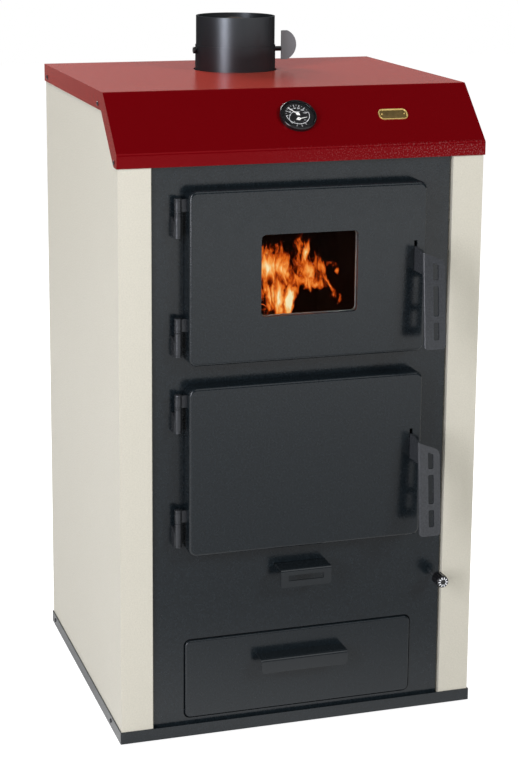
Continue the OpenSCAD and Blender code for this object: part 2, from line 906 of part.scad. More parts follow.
// Air inlet on the right side of the ash pit: two rails for the slide
slide_t = 2;
slide_lap_y = 10;
slide_lap_z = 6;
slide_y = air_hole_y - slide_lap_y;
slide_len = air_hole_d + 2 * slide_lap_y;
slide_z = air_hole_z - slide_lap_z;
slide_h = air_hole_h + 2 * slide_lap_z;
slide_lug_t = 6;
rod_past_lug = 6;
rail_t = 2;
rail_lip = 5;
rail_lead = 24;
rail_past = 4;
rail_y = slide_y - rail_lead;
rail_end_y = slide_y + slide_len + rail_past;

module air_inlet_box() {
    wall = boiler_w / 2;
    out = wall + slide_t + 2 * seat_gap;
    top = slide_h / 2 + seat_gap + rail_t;
    color("#5b5e60") for (flip = [0, 1]) translate([0, 0, slide_z + slide_h / 2])
        mirror([0, 0, flip]) {
            block([wall, rail_y, slide_h / 2 + seat_gap], [out + rail_t, rail_end_y, top]);
            block([out, rail_y, slide_h / 2 - rail_lip], [out + rail_t, rail_end_y, top]);
        }
}

module air_slide() {
    wall = boiler_w / 2 + seat_gap;
    lug_y = slide_y + slide_len / 2;
    color("#6b6e70") difference() {
        union() {
            block([wall, slide_y, slide_z], [wall + slide_t, slide_y + slide_len, slide_z + slide_h]);
            block([wall, lug_y, rod_z_at - 2 * rod_r],
                [rod_x_at + 2 * rod_r, lug_y + slide_lug_t, rod_z_at + 2 * rod_r]);
        }
        translate([rod_x_at, 0, rod_z_at]) rod_y(0, body_d, rod_r + press_gap);
    }
}

knob_back_y = -11;
knob_neck_share = 0.6;
knob_neck = 3;
knob_cone = 2;
knob_edge_r = 3;
knob_flutes = 10;
flute_r = 2.2;
flute_from = 6;

module air_rod() {
    color("#9a9c9e") translate([rod_x_at, 0, rod_z_at])
        rod_y(knob_back_y, slide_y + slide_len / 2 + slide_lug_t + rod_past_lug, rod_r);
}

module air_knob() {
    color("#1c1d1e") translate([rod_x_at, knob_back_y, rod_z_at]) rotate([90, 0, 0]) difference() {
        rotate_extrude() polygon(concat(
            [[0, 0], [knob_r * knob_neck_share, 0], [knob_r * knob_neck_share, knob_neck],
                [knob_r, knob_neck + knob_cone]],
            arc([knob_r - knob_edge_r, knob_len - knob_edge_r], knob_edge_r, 0, 90, bend_steps),
            [[0, knob_len]]));
        for (i = [0:knob_flutes - 1]) rotate(i * 360 / knob_flutes)
            translate([knob_r + flute_r / 2, 0, flute_from]) cylinder(h = knob_len, r = flute_r);
    }
}

// Hinges: fixed knuckles with pins, and the knuckles of the doors that hang on them
hinge_tab_t = 4;
hinge_tab_in = 1.5;
knuckle_gap = 0.2;
pin_cap = 3;
leaf_t = 3;
leaf_in = 1;
leaf_over = 2;
leaf_back_share = 0.8;
leaf_mid_share = 0.4;
leaf_arc_a = 100;
function hinge_tops(z) = [z + door_h - hinge_inset, z + hinge_inset + barrel_len];

groove_in = 3;
groove_w = 1.2;
groove_t = 0.6;
barrel_chamfer = 0.6;

// A hinge barrel with a ring groove near each end
module barrel(z0, z1) {
    half = (z1 - z0) / 2;
    edge = [[barrel_r, half - groove_in - groove_w], [barrel_r - groove_t, half - groove_in - groove_w],
        [barrel_r - groove_t, half - groove_in], [barrel_r, half - groove_in],
        [barrel_r, half - barrel_chamfer], [barrel_r - barrel_chamfer, half], [0, half]];
    translate([hinge_x, hinge_y, z0 + half]) rotate_extrude() polygon(concat(
        reversed([for (p = edge) [p[0], -p[1]]]), edge));
}

module fixed_knuckles() {
    leaf_x = hinge_x - barrel_r - leaf_in;
    color("#3a3d40") for (z = [upper_door_z, lower_door_z], top = hinge_tops(z))
        translate([0, 0, top - barrel_len]) difference() {
            fixed = barrel_len - knuckle_len - knuckle_gap;
            union() {
                barrel(0, fixed);
                pull_x(leaf_x, leaf_x + leaf_t) polygon(concat(
                    [[plate_y, 0], [plate_y, fixed * leaf_back_share]],
                    arc([plate_y, fixed * leaf_mid_share], plate_y - hinge_y + leaf_over,
                        leaf_arc_a, 180, bend_steps),
                    [[hinge_y, 0]]));
            }
            translate([hinge_x, hinge_y, 0]) rod_z(-over, fixed + over, pin_r + press_gap);
        }
}

module hinge_pins() {
    color("#8a8d90") for (z = [upper_door_z, lower_door_z], top = hinge_tops(z))
        translate([hinge_x, hinge_y, 0]) rod_z(top - barrel_len, top - pin_cap - slide_gap, pin_r);
}

module door_knuckles(z) {
    for (top = hinge_tops(z)) difference() {
        union() {
            barrel(top - knuckle_len, top);
            block([hinge_x, hinge_y - hinge_tab_t / 2, top - knuckle_len + hinge_tab_in],
                [-door_w / 2, hinge_y + hinge_tab_t / 2, top - hinge_tab_in]);
        }
        translate([hinge_x, hinge_y, 0]) rod_z(top - knuckle_len - over, top - pin_cap, pin_r + run_fit);
    }
}

// A pan with soft front edges, seen from the front; its back is open
module pan(w, h, r, edge, front, back, t, z) {
    difference() {
        translate([0, back, z]) rotate([90, 0, 0]) hull()
            for (i = [-1, 1], j = [-1, 1])
                translate([i * (w / 2 - r), j * (h / 2 - r), 0])
                    rotate_extrude($fn = hull_fn) polygon(concat(
                        [[0, 0], [r, 0]],
                        arc([r - edge, back - front - edge], edge, 0, 90, bend_steps),
                        [[0, back - front]]));
        rounded_slab(w - 2 * t, h - 2 * t, r - t, front + t, back + over, 0, z);
    }
}

ear_t = 2.5;
ear_gap = 0.5;
ear_r = 9;
slot_low = 1.5;
slot_high = 9;
pin_proud = 0.5;
pin_out = ear_gap + ear_t + pin_proud;

module door_shell(z) {
    mid = z + door_h / 2;
    pivot_z = z + pivot_up;
    difference() {
        union() {
            pan(door_w, door_h, door_corner_r, door_edge_r, door_front_y, door_back_y, door_t, mid);
            for (x = [lever_x - ear_gap - ear_t, lever_x + lever_t + ear_gap])
                pull_x(x, x + ear_t) {
                    translate([pivot_y, pivot_z]) circle(ear_r);
                    translate([door_front_y + door_t / 2, pivot_z - ear_r])
                        square([pivot_y - door_front_y - door_t / 2, 2 * ear_r]);
                }
        }
        block([lever_x - ear_gap, door_front_y - over, pivot_z - lever_h / 2 - slot_low],
            [lever_x + lever_t + ear_gap, door_front_y + door_t + over, pivot_z + lever_h / 2 + slot_high]);
        translate([0, pivot_y, pivot_z])
            rod_x(lever_x - 2 * ear_t, lever_x + lever_t + 2 * ear_t, pivot_r + press_gap);
    }
}

module latch_pin(z) {
    translate([0, pivot_y, z + pivot_up])
        rod_x(lever_x - pin_out, lever_x + lever_t + pin_out, pivot_r);
}

// Latch lever: the nose hooks up behind the strike, and the grip is bent across the front
grip_corner_r = 12;
grip_slots = [[29, 27], [74.5, 46], [120.5, 27]];
grip_slot_w = 9;
grip_slot_x = 20;
grip_slot_r = 2.5;
grip_top_a = 26;
grip_top = 14.5;
grip_corner_share = 0.4;

module grip_outline() {
    drop = grip_w * tan(grip_top_a);
    foot_r = grip_corner_r / 2;
    polygon(concat(
        [[0, 0]],
        arc([grip_w - grip_corner_r, -drop - grip_corner_r * grip_corner_share], grip_corner_r,
            90 - grip_top_a, 0, bend_steps),
        arc([grip_w - foot_r, -grip_len + foot_r], foot_r, 0, -90, bend_steps),
        arc([foot_r, -grip_len + foot_r], foot_r, -90, -180, bend_steps)));
}

module latch_lever(z) {
    front = door_front_y - lever_reach;
    inside = front - lever_t / 2;
    translate([0, 0, z + pivot_up]) difference() {
        union() {
            pull_x(lever_x, lever_x + lever_t) {
                polygon([[pivot_y + lever_t, lever_h / 2], [door_front_y, lever_h / 2], [inside, grip_top],
                    [inside - (grip_top + lever_h / 2) * tan(grip_splay), -lever_h / 2],
                    [pivot_y + lever_t, -lever_h / 2]]);
                translate([pivot_y, 0]) circle(boss_r);
                translate([pivot_y, tail_low]) square([tail_end_y - pivot_y, tail_top - tail_low]);
                translate([nose_y, tail_low]) square([nose_t, nose_top - tail_low]);
            }
            translate([lever_x, front, grip_top]) rotate([-grip_splay, 0, 0]) difference() {
                rotate([90, 0, 0]) linear_extrude(lever_t) grip_outline();
                difference() {
                    block([-over, -lever_t - over, -grip_len - over], [lever_t, 0, over]);
                    translate([lever_t, 0, 0]) rod_z(-grip_len - 2 * over, 2 * over, lever_t);
                }
                difference() {
                    for (s = grip_slots)
                        rounded_slab(grip_slot_w, s[1], grip_slot_r,
                            -lever_t - over, over, grip_slot_x, -s[0]);
                    // The top slot's upper end runs along the slanted top of the grip
                    translate([grip_slot_x, 0, grip_slots[0][1] / 2 - grip_slots[0][0] - grip_slot_r])
                        rotate([0, grip_top_a, 0])
                        block([-grip_w, -grip_w, 0], [grip_w, grip_w, grip_slot_w]);
                }
            }
        }
        translate([0, pivot_y, 0]) rod_x(lever_x - over, lever_x + lever_t + over, pivot_r + run_fit);
    }
}

// Liner plate inside a door, on four spacers
liner_r = 10;
spacer_r = 6;
spacer_in = 13;
insulation_r = 6;
window_frame_out_r = 3;

module door_liner(z) {
    mid = z + door_h / 2;
    rounded_slab(liner_w, liner_h, liner_r, liner_y, liner_y + liner_t, 0, mid);
    for (i = [-1, 1], j = [-1, 1])
        translate([i * (liner_w / 2 - spacer_in), 0, mid + j * (liner_h / 2 - spacer_in)])
            rod_y(door_front_y + door_t, liner_y, spacer_r);
}

module door_rope(z) {
    mid = z + door_h / 2;
    inner = rope_margin;
    outer = rope_margin + rope_w;
    difference() {
        rounded_slab(mouth_w + 2 * outer, mouth_h + 2 * outer, mouth_r + outer,
            rope_y, plate_y - seat_gap, 0, mid);
        rounded_slab(mouth_w + 2 * inner, mouth_h + 2 * inner, mouth_r + inner,
            rope_y - over, plate_y + over, 0, mid);
    }
}

module upper_door_shell() {
    color("#33383b") difference() {
        door_shell(upper_door_z);
        rounded_slab(window_w, window_h, window_r,
            door_front_y - over, door_front_y + door_t + over, 0, upper_mid_z);
    }
}

module lower_door_shell() {
    color("#33383b") door_shell(lower_door_z);
}

module upper_door_knuckles() {
    color("#3a3d40") door_knuckles(upper_door_z);
}

module lower_door_knuckles() {
    color("#3a3d40") door_knuckles(lower_door_z);
}

module upper_door_liner() {
    color("#44474a") difference() {
        door_liner(upper_door_z);
        rounded_slab(window_w + window_lap, window_h + window_lap, window_r + window_lap / 2,
            liner_y - over, liner_y + liner_t + over, 0, upper_mid_z);
    }
}

module lower_door_liner() {
    color("#44474a") door_liner(lower_door_z);
}

module upper_door_rope() {
    color("#d8d4c8") door_rope(upper_door_z);
}

module lower_door_rope() {
    color("#d8d4c8") door_rope(lower_door_z);
}

module lower_door_insulation() {
    color("#cdbf9d") rounded_slab(liner_w - 4 * spacer_in, liner_h - 2 * spacer_r, insulation_r,
        door_front_y + door_t, liner_y, 0, lower_mid_z);
}

module window_gasket() {
    front = door_front_y + door_t;
    color("#cfcabd") difference() {
        rounded_slab(window_w + 2 * window_lap, window_h + 2 * window_lap, window_r,
            front, front + gasket_t, 0, upper_mid_z);
        rounded_slab(window_w + window_lap / 3, window_h + window_lap / 3, window_r,
            front - over, front + gasket_t + over, 0, upper_mid_z);
    }
}

module window_glass() {
    color("#c8d2d0", 0.35) rounded_slab(window_w + 2 * window_lap, window_h + 2 * window_lap, window_r,
        glass_y, glass_y + glass_t, 0, upper_mid_z);
}

module window_frame() {
    front = door_front_y + door_t;
    back = glass_y + glass_t + retainer_t;
    rim = 2 * window_lap + 2 * seat_gap;
    color("#55585a") difference() {
        rounded_slab(window_w + 4 * window_lap, window_h + 3 * window_lap, window_r + window_frame_out_r,
            front, back, 0, upper_mid_z);
        rounded_slab(window_w + rim, window_h + rim, window_r,
            front - over, glass_y + glass_t, 0, upper_mid_z);
        rounded_slab(window_w, window_h, window_r, front - over, back + over, 0, upper_mid_z);
    }
}

module upper_latch_pin() {
    color("#8a8d90") latch_pin(upper_door_z);
}

module lower_latch_pin() {
    color("#8a8d90") latch_pin(lower_door_z);
}

module upper_latch_lever() {
    color("#2b2e30") latch_lever(upper_door_z);
}

module lower_latch_lever() {
    color("#2b2e30") latch_lever(lower_door_z);
}

// Ash drawer
drawer_r = 9;
drawer_edge_r = 3;
drawer_front_y = 2;
drawer_pan_d = 18;
drawer_t = 3;
drawer_pull_w = 142;
drawer_pull_top = 127;
drawer_pull_lip = 23;
drawer_pull_out = 26;
drawer_pull_r = 6;
tray_y = drawer_front_y + drawer_t;
tray_d = boiler_y + boiler_d - pit_t - tray_back - tray_y;

module drawer_front() {
    color("#33383b") pan(drawer_w, drawer_h, drawer_r, drawer_edge_r, drawer_front_y,
        drawer_front_y + drawer_pan_d, drawer_t, drawer_z + drawer_h / 2);
}

module drawer_handle() {
    color("#2b2e30") bent_pull(drawer_pull_w, drawer_pull_top, -drawer_pull_out, drawer_front_y,
        drawer_pull_lip, pull_t, drawer_pull_r);
}

module drawer_tray() {
    color("#5b5e60") difference() {
        block([-tray_w / 2, tray_y, tray_z], [tray_w / 2, tray_y + tray_d, tray_z + tray_h]);
        block([-tray_w / 2 + tray_t, tray_y + tray_t, tray_z + tray_t],
            [tray_w / 2 - tray_t, tray_y + tray_d - tray_t, tray_z + tray_h + over]);
    }
}

// Gauge on the slope: temperature above, pressure below
dial_h = 2.5;
dial_t = 1;
lens_t = 1.2;
lens_h = 5;
bezel_wall = 3;
bezel_edge_r = 2;
lens_seat = 1;
dial_gap = 0.1;
post_r = 0.6;
needle_t = 0.5;
needle_half = 0.8;
tip_half = 0.3;
temp_lift = 1.2;
press_lift = 0.3;
temp_hub = 3;
press_hub = -6;
temp_len = 18;
press_len = 14;
hub_r = 2;
temp_a = 48;
press_a = -78;

module gauge_case() {
    color("#1d1e1f") on_slope(0, gauge_s) difference() {
        union() {
            rotate_extrude() polygon(concat(
                [[0, face_gap], [bezel_r, face_gap], [bezel_r, bezel_h - bezel_edge_r]],
                arc([bezel_r - bezel_edge_r, bezel_h - bezel_edge_r], bezel_edge_r, 0, 90, bend_steps),
                [[0, bezel_h]]));
            rod_z(-case_depth, dial_h - dial_t, case_r);
        }
        rod_z(dial_h - dial_t, bezel_h + over, bezel_r - bezel_wall);
        rod_z(lens_h, bezel_h + over, bezel_r - bezel_wall + lens_seat);
    }
}

module gauge_dial() {
    color("#101112") on_slope(0, gauge_s) {
        rod_z(dial_h - dial_t, dial_h, bezel_r - bezel_wall - dial_gap);
        for (y = [temp_hub, press_hub])
            translate([0, y, 0]) rod_z(dial_h - dial_t, lens_h - seat_gap, post_r);
    }
}

module gauge_glass() {
    color("#c8d2d0", 0.35) on_slope(0, gauge_s)
        rod_z(lens_h, lens_h + lens_t, bezel_r - bezel_wall + lens_seat - dial_gap);
}

// A pointer on its hub, turned from straight up
module needle(hub, turn, long, h) {
    on_slope(0, gauge_s) translate([0, hub, dial_h + h]) rotate(turn) difference() {
        union() {
            cylinder(h = needle_t, r = hub_r);
            linear_extrude(needle_t)
                polygon([[-needle_half, -2 * hub_r], [needle_half, -2 * hub_r],
                    [tip_half, long], [-tip_half, long]]);
        }
        translate([0, 0, -over]) cylinder(h = 3 * over, r = post_r + run_fit);
    }
}

module temperature_needle() {
    color("#e8e4da") needle(temp_hub, temp_a, temp_len, temp_lift);
}

module pressure_needle() {
    color("#e8e4da") needle(press_hub, press_a, press_len, press_lift);
}

in_frame() base_frame();
in_frame() levelling_feet();
in_frame() left_side_panel();
in_frame() right_side_panel();
in_frame() rear_panel();
in_frame() front_plate();
in_frame() top_lid();
in_frame() lid_screws();
in_frame() base_screws();
in_frame() ash_pit();
in_frame() jacket_front();
in_frame() jacket_left();
in_frame() jacket_right();
in_frame() jacket_back();
in_frame() jacket_top();
in_frame() baffle_plate();
in_frame() firebricks();
in_frame() grate_frame();
in_frame() flue_spigot();
in_frame() flow_socket();
in_frame() return_socket();
in_frame() drain_plug();
in_frame() sensor_pocket();
in_frame() capillary_tube();
in_frame() air_inlet_box();
in_frame() latch_strikes();
in_frame() fixed_knuckles();
in_frame() hinge_pins();
in_frame() gauge_case();
in_frame() gauge_dial();
in_frame() gauge_glass();
in_frame() upper_door_shell();
in_frame() upper_door_knuckles();
in_frame() upper_door_liner();
in_frame() upper_door_rope();
in_frame() window_gasket();
in_frame() window_glass();
in_frame() window_frame();
in_frame() upper_latch_pin();
in_frame() upper_latch_lever();
in_frame() lower_door_shell();
in_frame() lower_door_knuckles();
in_frame() lower_door_liner();
in_frame() lower_door_rope();
in_frame() lower_door_insulation();
in_frame() lower_latch_pin();
in_frame() lower_latch_lever();
in_frame() drawer_front();
in_frame() drawer_handle();
in_frame() drawer_tray();
in_frame() shaker_pull();
in_frame() moving_grate();
in_frame() air_knob();
in_frame() air_rod();
in_frame() air_slide();
in_frame() damper_spindle();
in_frame() damper_disc();
in_frame() damper_handle();
in_frame() temperature_needle();
in_frame() pressure_needle();
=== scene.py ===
import bpy
import json
import math
from mathutils import Matrix, Vector


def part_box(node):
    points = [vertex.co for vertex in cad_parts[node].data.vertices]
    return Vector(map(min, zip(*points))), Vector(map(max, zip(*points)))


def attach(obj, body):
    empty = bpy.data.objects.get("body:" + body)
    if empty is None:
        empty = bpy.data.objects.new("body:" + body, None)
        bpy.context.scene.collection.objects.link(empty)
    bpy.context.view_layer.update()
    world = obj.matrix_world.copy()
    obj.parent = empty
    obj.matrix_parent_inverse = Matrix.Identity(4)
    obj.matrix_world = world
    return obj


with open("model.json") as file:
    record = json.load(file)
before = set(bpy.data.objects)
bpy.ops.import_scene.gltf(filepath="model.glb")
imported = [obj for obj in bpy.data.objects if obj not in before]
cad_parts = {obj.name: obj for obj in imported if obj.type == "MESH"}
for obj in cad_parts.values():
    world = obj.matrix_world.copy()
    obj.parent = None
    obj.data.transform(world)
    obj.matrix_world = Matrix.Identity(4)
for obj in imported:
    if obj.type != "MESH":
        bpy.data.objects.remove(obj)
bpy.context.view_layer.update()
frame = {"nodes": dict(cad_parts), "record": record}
nodes = frame["nodes"]
slot_of = {part["node"]: part["material_slot"] for part in frame["record"]["subparts"]}

# Camera, from the picture's own edges. Angles in degrees, focal length in pixels of the image
IMAGE_H = 768
SENSOR_MM = 36
CAMERA_PLACE = (-0.9212, -2.9104, 1.3266)
CAMERA_TURN = -17.679
CAMERA_DOWN = 11.819
CAMERA_ROLL = 0.464
CAMERA_F_PX = 1911.9
CAMERA_SHIFT = -0.15


def add_camera():
    turn, down, roll = (math.radians(a) for a in (CAMERA_TURN, CAMERA_DOWN, CAMERA_ROLL))
    ahead = Vector((math.sin(-turn) * math.cos(down), math.cos(turn) * math.cos(down),
                    -math.sin(down)))
    level = ahead.cross(Vector((0, 0, 1))).normalized()
    right = level * math.cos(roll) + level.cross(ahead) * math.sin(roll)
    up = right.cross(ahead)
    bpy.ops.object.camera_add()
    camera = bpy.context.object
    camera.matrix_world = Matrix((right, up, -ahead)).transposed().to_4x4()
    camera.location = CAMERA_PLACE
    camera.data.sensor_width = SENSOR_MM
    camera.data.lens = CAMERA_F_PX / IMAGE_H * SENSOR_MM
    camera.data.shift_y = CAMERA_SHIFT
    camera.data.clip_end = 40
    bpy.context.scene.camera = camera


add_camera()


# Node helpers
def new_material(name, colour, rough, metal=0.0):
    mat = bpy.data.materials.new(name)
    mat.use_nodes = True
    shader = mat.node_tree.nodes["Principled BSDF"]
    shader.inputs["Base Color"].default_value = (*colour, 1)
    shader.inputs["Roughness"].default_value = rough
    shader.inputs["Metallic"].default_value = metal
    return mat, mat.node_tree, shader


def add_node(tree, kind, **values):
    """A node with its settings and inputs. A space in an input's name is written as _."""
    node = tree.nodes.new(kind)
    for key, value in values.items():
        if hasattr(node, key):
            setattr(node, key, value)
        else:
            node.inputs[key.replace("_", " ")].default_value = value
    return node


def link(tree, source, target):
    tree.links.new(source, target)


def feed(tree, source, target):
    """Links an input to the output of another node, or gives it a plain value."""
    if isinstance(source, bpy.types.NodeSocket):
        link(tree, source, target)
    else:
        target.default_value = source


def new_group(name, inputs, outputs):
    tree = bpy.data.node_groups.new(name, "ShaderNodeTree")
    kinds = {"f": "NodeSocketFloat", "c": "NodeSocketColor", "v": "NodeSocketVector"}
    for label, kind, default in inputs:
        socket = tree.interface.new_socket(label, in_out="INPUT", socket_type=kinds[kind])
        socket.default_value = default
    for label, kind in outputs:
        tree.interface.new_socket(label, in_out="OUTPUT", socket_type=kinds[kind])
    return tree, tree.nodes.new("NodeGroupInput"), tree.nodes.new("NodeGroupOutput")


def use_group(tree, group, **values):
    node = tree.nodes.new("ShaderNodeGroup")
    node.node_tree = group
    for key, value in values.items():
        node.inputs[key.replace("_", " ")].default_value = value
    return node


def object_coords(tree):
    return tree.nodes.new("ShaderNodeTexCoord").outputs["Object"]


def ramp(tree, source, stops):
    """A ramp of greys or colours. Each stop is (place, value)."""
    node = tree.nodes.new("ShaderNodeValToRGB")
    points = node.color_ramp.elements
    while len(points) < len(stops):
        points.new(0.5)
    for point, (place, value) in zip(points, stops):
        point.position = place
        point.color = (*value, 1) if isinstance(value, tuple) else (value, value, value, 1)
    link(tree, source, node.inputs["Fac"])
    return node.outputs["Color"]


def calc(tree, operation, *terms):
    """One step of arithmetic on numbers and outputs."""
    node = add_node(tree, "ShaderNodeMath", operation=operation)
    for term, socket in zip(terms, node.inputs):
        feed(tree, term, socket)
    return node.outputs[0]


def calc_vector(tree, operation, *terms):
    """The same on vectors. It gives the node's outputs, Vector and Value."""
    node = add_node(tree, "ShaderNodeVectorMath", operation=operation)
    for term, socket in zip(terms, node.inputs):
        feed(tree, term, socket)
    return node.outputs


def centred(tree, value):
    return calc(tree, "SUBTRACT", value, 0.5)


def noise(tree, place, scale, detail, **values):
    node = add_node(tree, "ShaderNodeTexNoise", Detail=detail, **values)
    link(tree, place, node.inputs["Vector"])
    feed(tree, scale, node.inputs["Scale"])
    return node.outputs


def mapped(tree, place, **values):
    """A place that is moved, turned or stretched."""
    node = add_node(tree, "ShaderNodeMapping", **values)
    link(tree, place, node.inputs["Vector"])
    return node.outputs["Vector"]


def spread_over(tree, value, source, target=(0.0, 1.0), curve="LINEAR"):
    """Lays one span of values over another, and holds it at both ends."""
    node = add_node(tree, "ShaderNodeMapRange", interpolation_type=curve)
    for label, number in zip(("From Min", "From Max", "To Min", "To Max"), (*source, *target)):
        node.inputs[label].default_value = number
    link(tree, value, node.inputs["Value"])
    return node.outputs["Result"]


# Sockets of a mix of values or colours: share, first, second and result
MIX_SOCKETS = {"FLOAT": (0, 2, 3, 0), "RGBA": (0, 6, 7, 2)}


def mix(tree, kind, share, first, second):
    node = add_node(tree, "ShaderNodeMix", data_type=kind)
    *places, result = MIX_SOCKETS[kind]
    for source, place in zip((share, first, second), places):
        feed(tree, source, node.inputs[place])
    return node.outputs[result]


# Effects that several finishes share
FINISH_OUTPUTS = [("Colour", "c"), ("Roughness", "f"), ("Height", "f")]


def close_group(tree, end, *sources):
    for (label, _), source in zip(FINISH_OUTPUTS, sources):
        link(tree, source, end.inputs[label])
    return tree


def make_coat_group():
    """Sprayed coat: fine orange peel, specks of its grain, and slow changes of tone."""
    tree, start, end = new_group(
        "sprayed_coat",
        [("Colour", "c", (0.5, 0.5, 0.5, 1)), ("Tone", "f", 0.06), ("Peel Scale", "f", 900.0),
         ("Roughness", "f", 0.4), ("Spread", "f", 0.08), ("Speckle", "f", 0.1)], FINISH_OUTPUTS)
    given = start.outputs
    place = object_coords(tree)
    slow = noise(tree, place, 4.0, 3.0)["Fac"]
    peel = noise(tree, place, given["Peel Scale"], 2.0)["Fac"]
    fine = noise(tree, place, 60.0, 4.0)["Fac"]
    tone = calc(tree, "MULTIPLY_ADD", centred(tree, slow), given["Tone"], 1.0)
    speck = calc(tree, "MULTIPLY_ADD", centred(tree, peel), given["Speckle"], tone)
    shade = add_node(tree, "ShaderNodeVectorMath", operation="SCALE")
    link(tree, given["Colour"], shade.inputs[0])
    link(tree, speck, shade.inputs["Scale"])
    rough = calc(tree, "MULTIPLY_ADD", centred(tree, fine), given["Spread"], given["Roughness"])
    return close_group(tree, end, shade.outputs["Vector"], rough, peel)


def make_grain_group():
    """Rolled or cast metal: fine pits and blotches."""
    tree, start, end = new_group(
        "metal_grain",
        [("Colour", "c", (0.5, 0.5, 0.5, 1)), ("Dark", "c", (0.3, 0.3, 0.3, 1)),
         ("Scale", "f", 300.0), ("Blotch", "f", 20.0), ("Roughness", "f", 0.4),
         ("Spread", "f", 0.15)], FINISH_OUTPUTS)
    given = start.outputs
    place = object_coords(tree)
    pits = noise(tree, place, given["Scale"], 5.0)["Fac"]
    blotch = noise(tree, place, given["Blotch"], 4.0)["Fac"]
    mask = ramp(tree, blotch, [(0.35, 0.0), (0.65, 1.0)])
    colour = mix(tree, "RGBA", mask, given["Colour"], given["Dark"])
    rough = calc(tree, "MULTIPLY_ADD", mask, given["Spread"], given["Roughness"])
    return close_group(tree, end, colour, rough, pits)


sprayed_coat = make_coat_group()
metal_grain = make_grain_group()


def bump(tree, shader, height, strength, distance):
    node = add_node(tree, "ShaderNodeBump", Strength=strength, Distance=distance)
    link(tree, height, node.inputs["Height"])
    link(tree, node.outputs["Normal"], shader.inputs["Normal"])


def dress(tree, shader, group, strength, depth):
    """Links a shared effect to the shader."""
    link(tree, group.outputs["Colour"], shader.inputs["Base Color"])
    link(tree, group.outputs["Roughness"], shader.inputs["Roughness"])
    bump(tree, shader, group.outputs["Height"], strength, depth)


def coat_finish(name, colour, rough, peel=900.0, tone=0.06, spread=0.08, strength=0.3,
                depth=0.0001, speckle=0.1, coat=0.0, coat_rough=0.1, shine=0.5, metal=0.0,
                rim=1.0, painted_glow=0.0, sheen=0.0, sheen_rough=0.5, sheen_tint=(1.0, 1.0, 1.0)):
    """Paint or plastic. Peel is the scale of its grain, tone, speckle and spread are how much its
    colour changes slowly and finely and how much its roughness does, and depth is the grain's."""
    mat, tree, shader = new_material(name, colour, rough, metal)
    group = use_group(tree, sprayed_coat, Colour=(*colour, 1), Tone=tone, Peel_Scale=peel,
                      Roughness=rough, Spread=spread, Speckle=speckle)
    dress(tree, shader, group, strength, depth)
    shader.inputs["Specular IOR Level"].default_value = shine
    shader.inputs["Specular Tint"].default_value = (rim, rim, rim, 1)
    shader.inputs["Emission Color"].default_value = (1, 1, 1, 1)
    # painted_glow: a painted glow, emission that makes a white part look more brightly lit than
    # the lamps make it
    shader.inputs["Emission Strength"].default_value = painted_glow
    shader.inputs["Sheen Weight"].default_value = sheen
    shader.inputs["Sheen Roughness"].default_value = sheen_rough
    shader.inputs["Sheen Tint"].default_value = (*sheen_tint, 1)
    shader.inputs["Coat Weight"].default_value = coat
    shader.inputs["Coat Roughness"].default_value = coat_rough
    return mat


def metal_finish(name, colour, dark, rough, scale=300.0, blotch=20.0, spread=0.15, strength=0.3,
                 depth=0.0002, metal=1.0):
    """Bare metal. It turns dark in blotches, whose scale is blotch, and is rougher there."""
    mat, tree, shader = new_material(name, colour, rough, metal)
    group = use_group(tree, metal_grain, Colour=(*colour, 1), Dark=(*dark, 1), Scale=scale,
                      Blotch=blotch, Roughness=rough, Spread=spread)
    dress(tree, shader, group, strength, depth)
    return mat


def rope_finish():
    """Plaited glass-fibre rope: diagonal strands both ways."""
    mat, tree, shader = new_material("plaited rope", (0.66, 0.63, 0.55), 0.85)
    place = object_coords(tree)
    strands = []
    for turn in (0.7, -0.7):
        wave = add_node(tree, "ShaderNodeTexWave", Scale=190.0, Distortion=1.0, Detail_Scale=2.0,
                        bands_direction="X")
        link(tree, mapped(tree, place, Rotation=(0, turn, 0)), wave.inputs["Vector"])
        strands.append(wave.outputs["Fac"])
    top = calc(tree, "MAXIMUM", *strands)
    tint = ramp(tree, top, [(0.2, (0.30, 0.27, 0.22)), (0.9, (0.70, 0.67, 0.60))])
    link(tree, tint, shader.inputs["Base Color"])
    bump(tree, shader, top, 0.8, 0.0008)
    shader.inputs["Sheen Weight"].default_value = 0.3
    return mat


def board_finish():
    """Vermiculite board: golden flakes pressed together, with patches of soot."""
    mat, tree, shader = new_material("flake board", (0.5, 0.4, 0.28), 0.85)
    place = object_coords(tree)
    flake = add_node(tree, "ShaderNodeTexVoronoi", Scale=160.0, Randomness=1.0)
    link(tree, place, flake.inputs["Vector"])
    tint = ramp(tree, flake.outputs["Color"], [
        (0.1, (0.30, 0.20, 0.11)), (0.6, (0.52, 0.40, 0.26)), (0.95, (0.66, 0.55, 0.38))])
    soot = ramp(tree, noise(tree, place, 9.0, 4.0)["Fac"], [(0.42, 0.0), (0.62, 0.85)])
    colour = mix(tree, "RGBA", soot, tint, (0.03, 0.026, 0.022, 1))
    link(tree, colour, shader.inputs["Base Color"])
    bump(tree, shader, flake.outputs["Distance"], 0.4, 0.0008)
    return mat


def film(tree, shader, scale, detail, stops):
    """A thin film on glass: its roughness changes slowly."""
    smear = noise(tree, object_coords(tree), scale, detail)["Fac"]
    link(tree, ramp(tree, smear, stops), shader.inputs["Roughness"])


def glass_finish():
    mat, tree, shader = new_material("clear glass", (0.93, 0.95, 0.94), 0.02)
    film(tree, shader, 14.0, 4.0, [(0.45, 0.02), (0.8, 0.12)])
    shader.inputs["Transmission Weight"].default_value = 1.0
    shader.inputs["IOR"].default_value = 1.05
    return mat


# Share of the lens that is seen as a shine over the dial
LENS_SHARE = 0.08


def lens_finish():
    """Thin clear lens: the dial shows through it, and it shines only where it faces a lamp."""
    mat, tree, shader = new_material("lens glass", (0.02, 0.02, 0.02), 0.04)
    film(tree, shader, 90.0, 3.0, [(0.4, 0.02), (0.8, 0.07)])
    shader.inputs["Alpha"].default_value = LENS_SHARE
    return mat


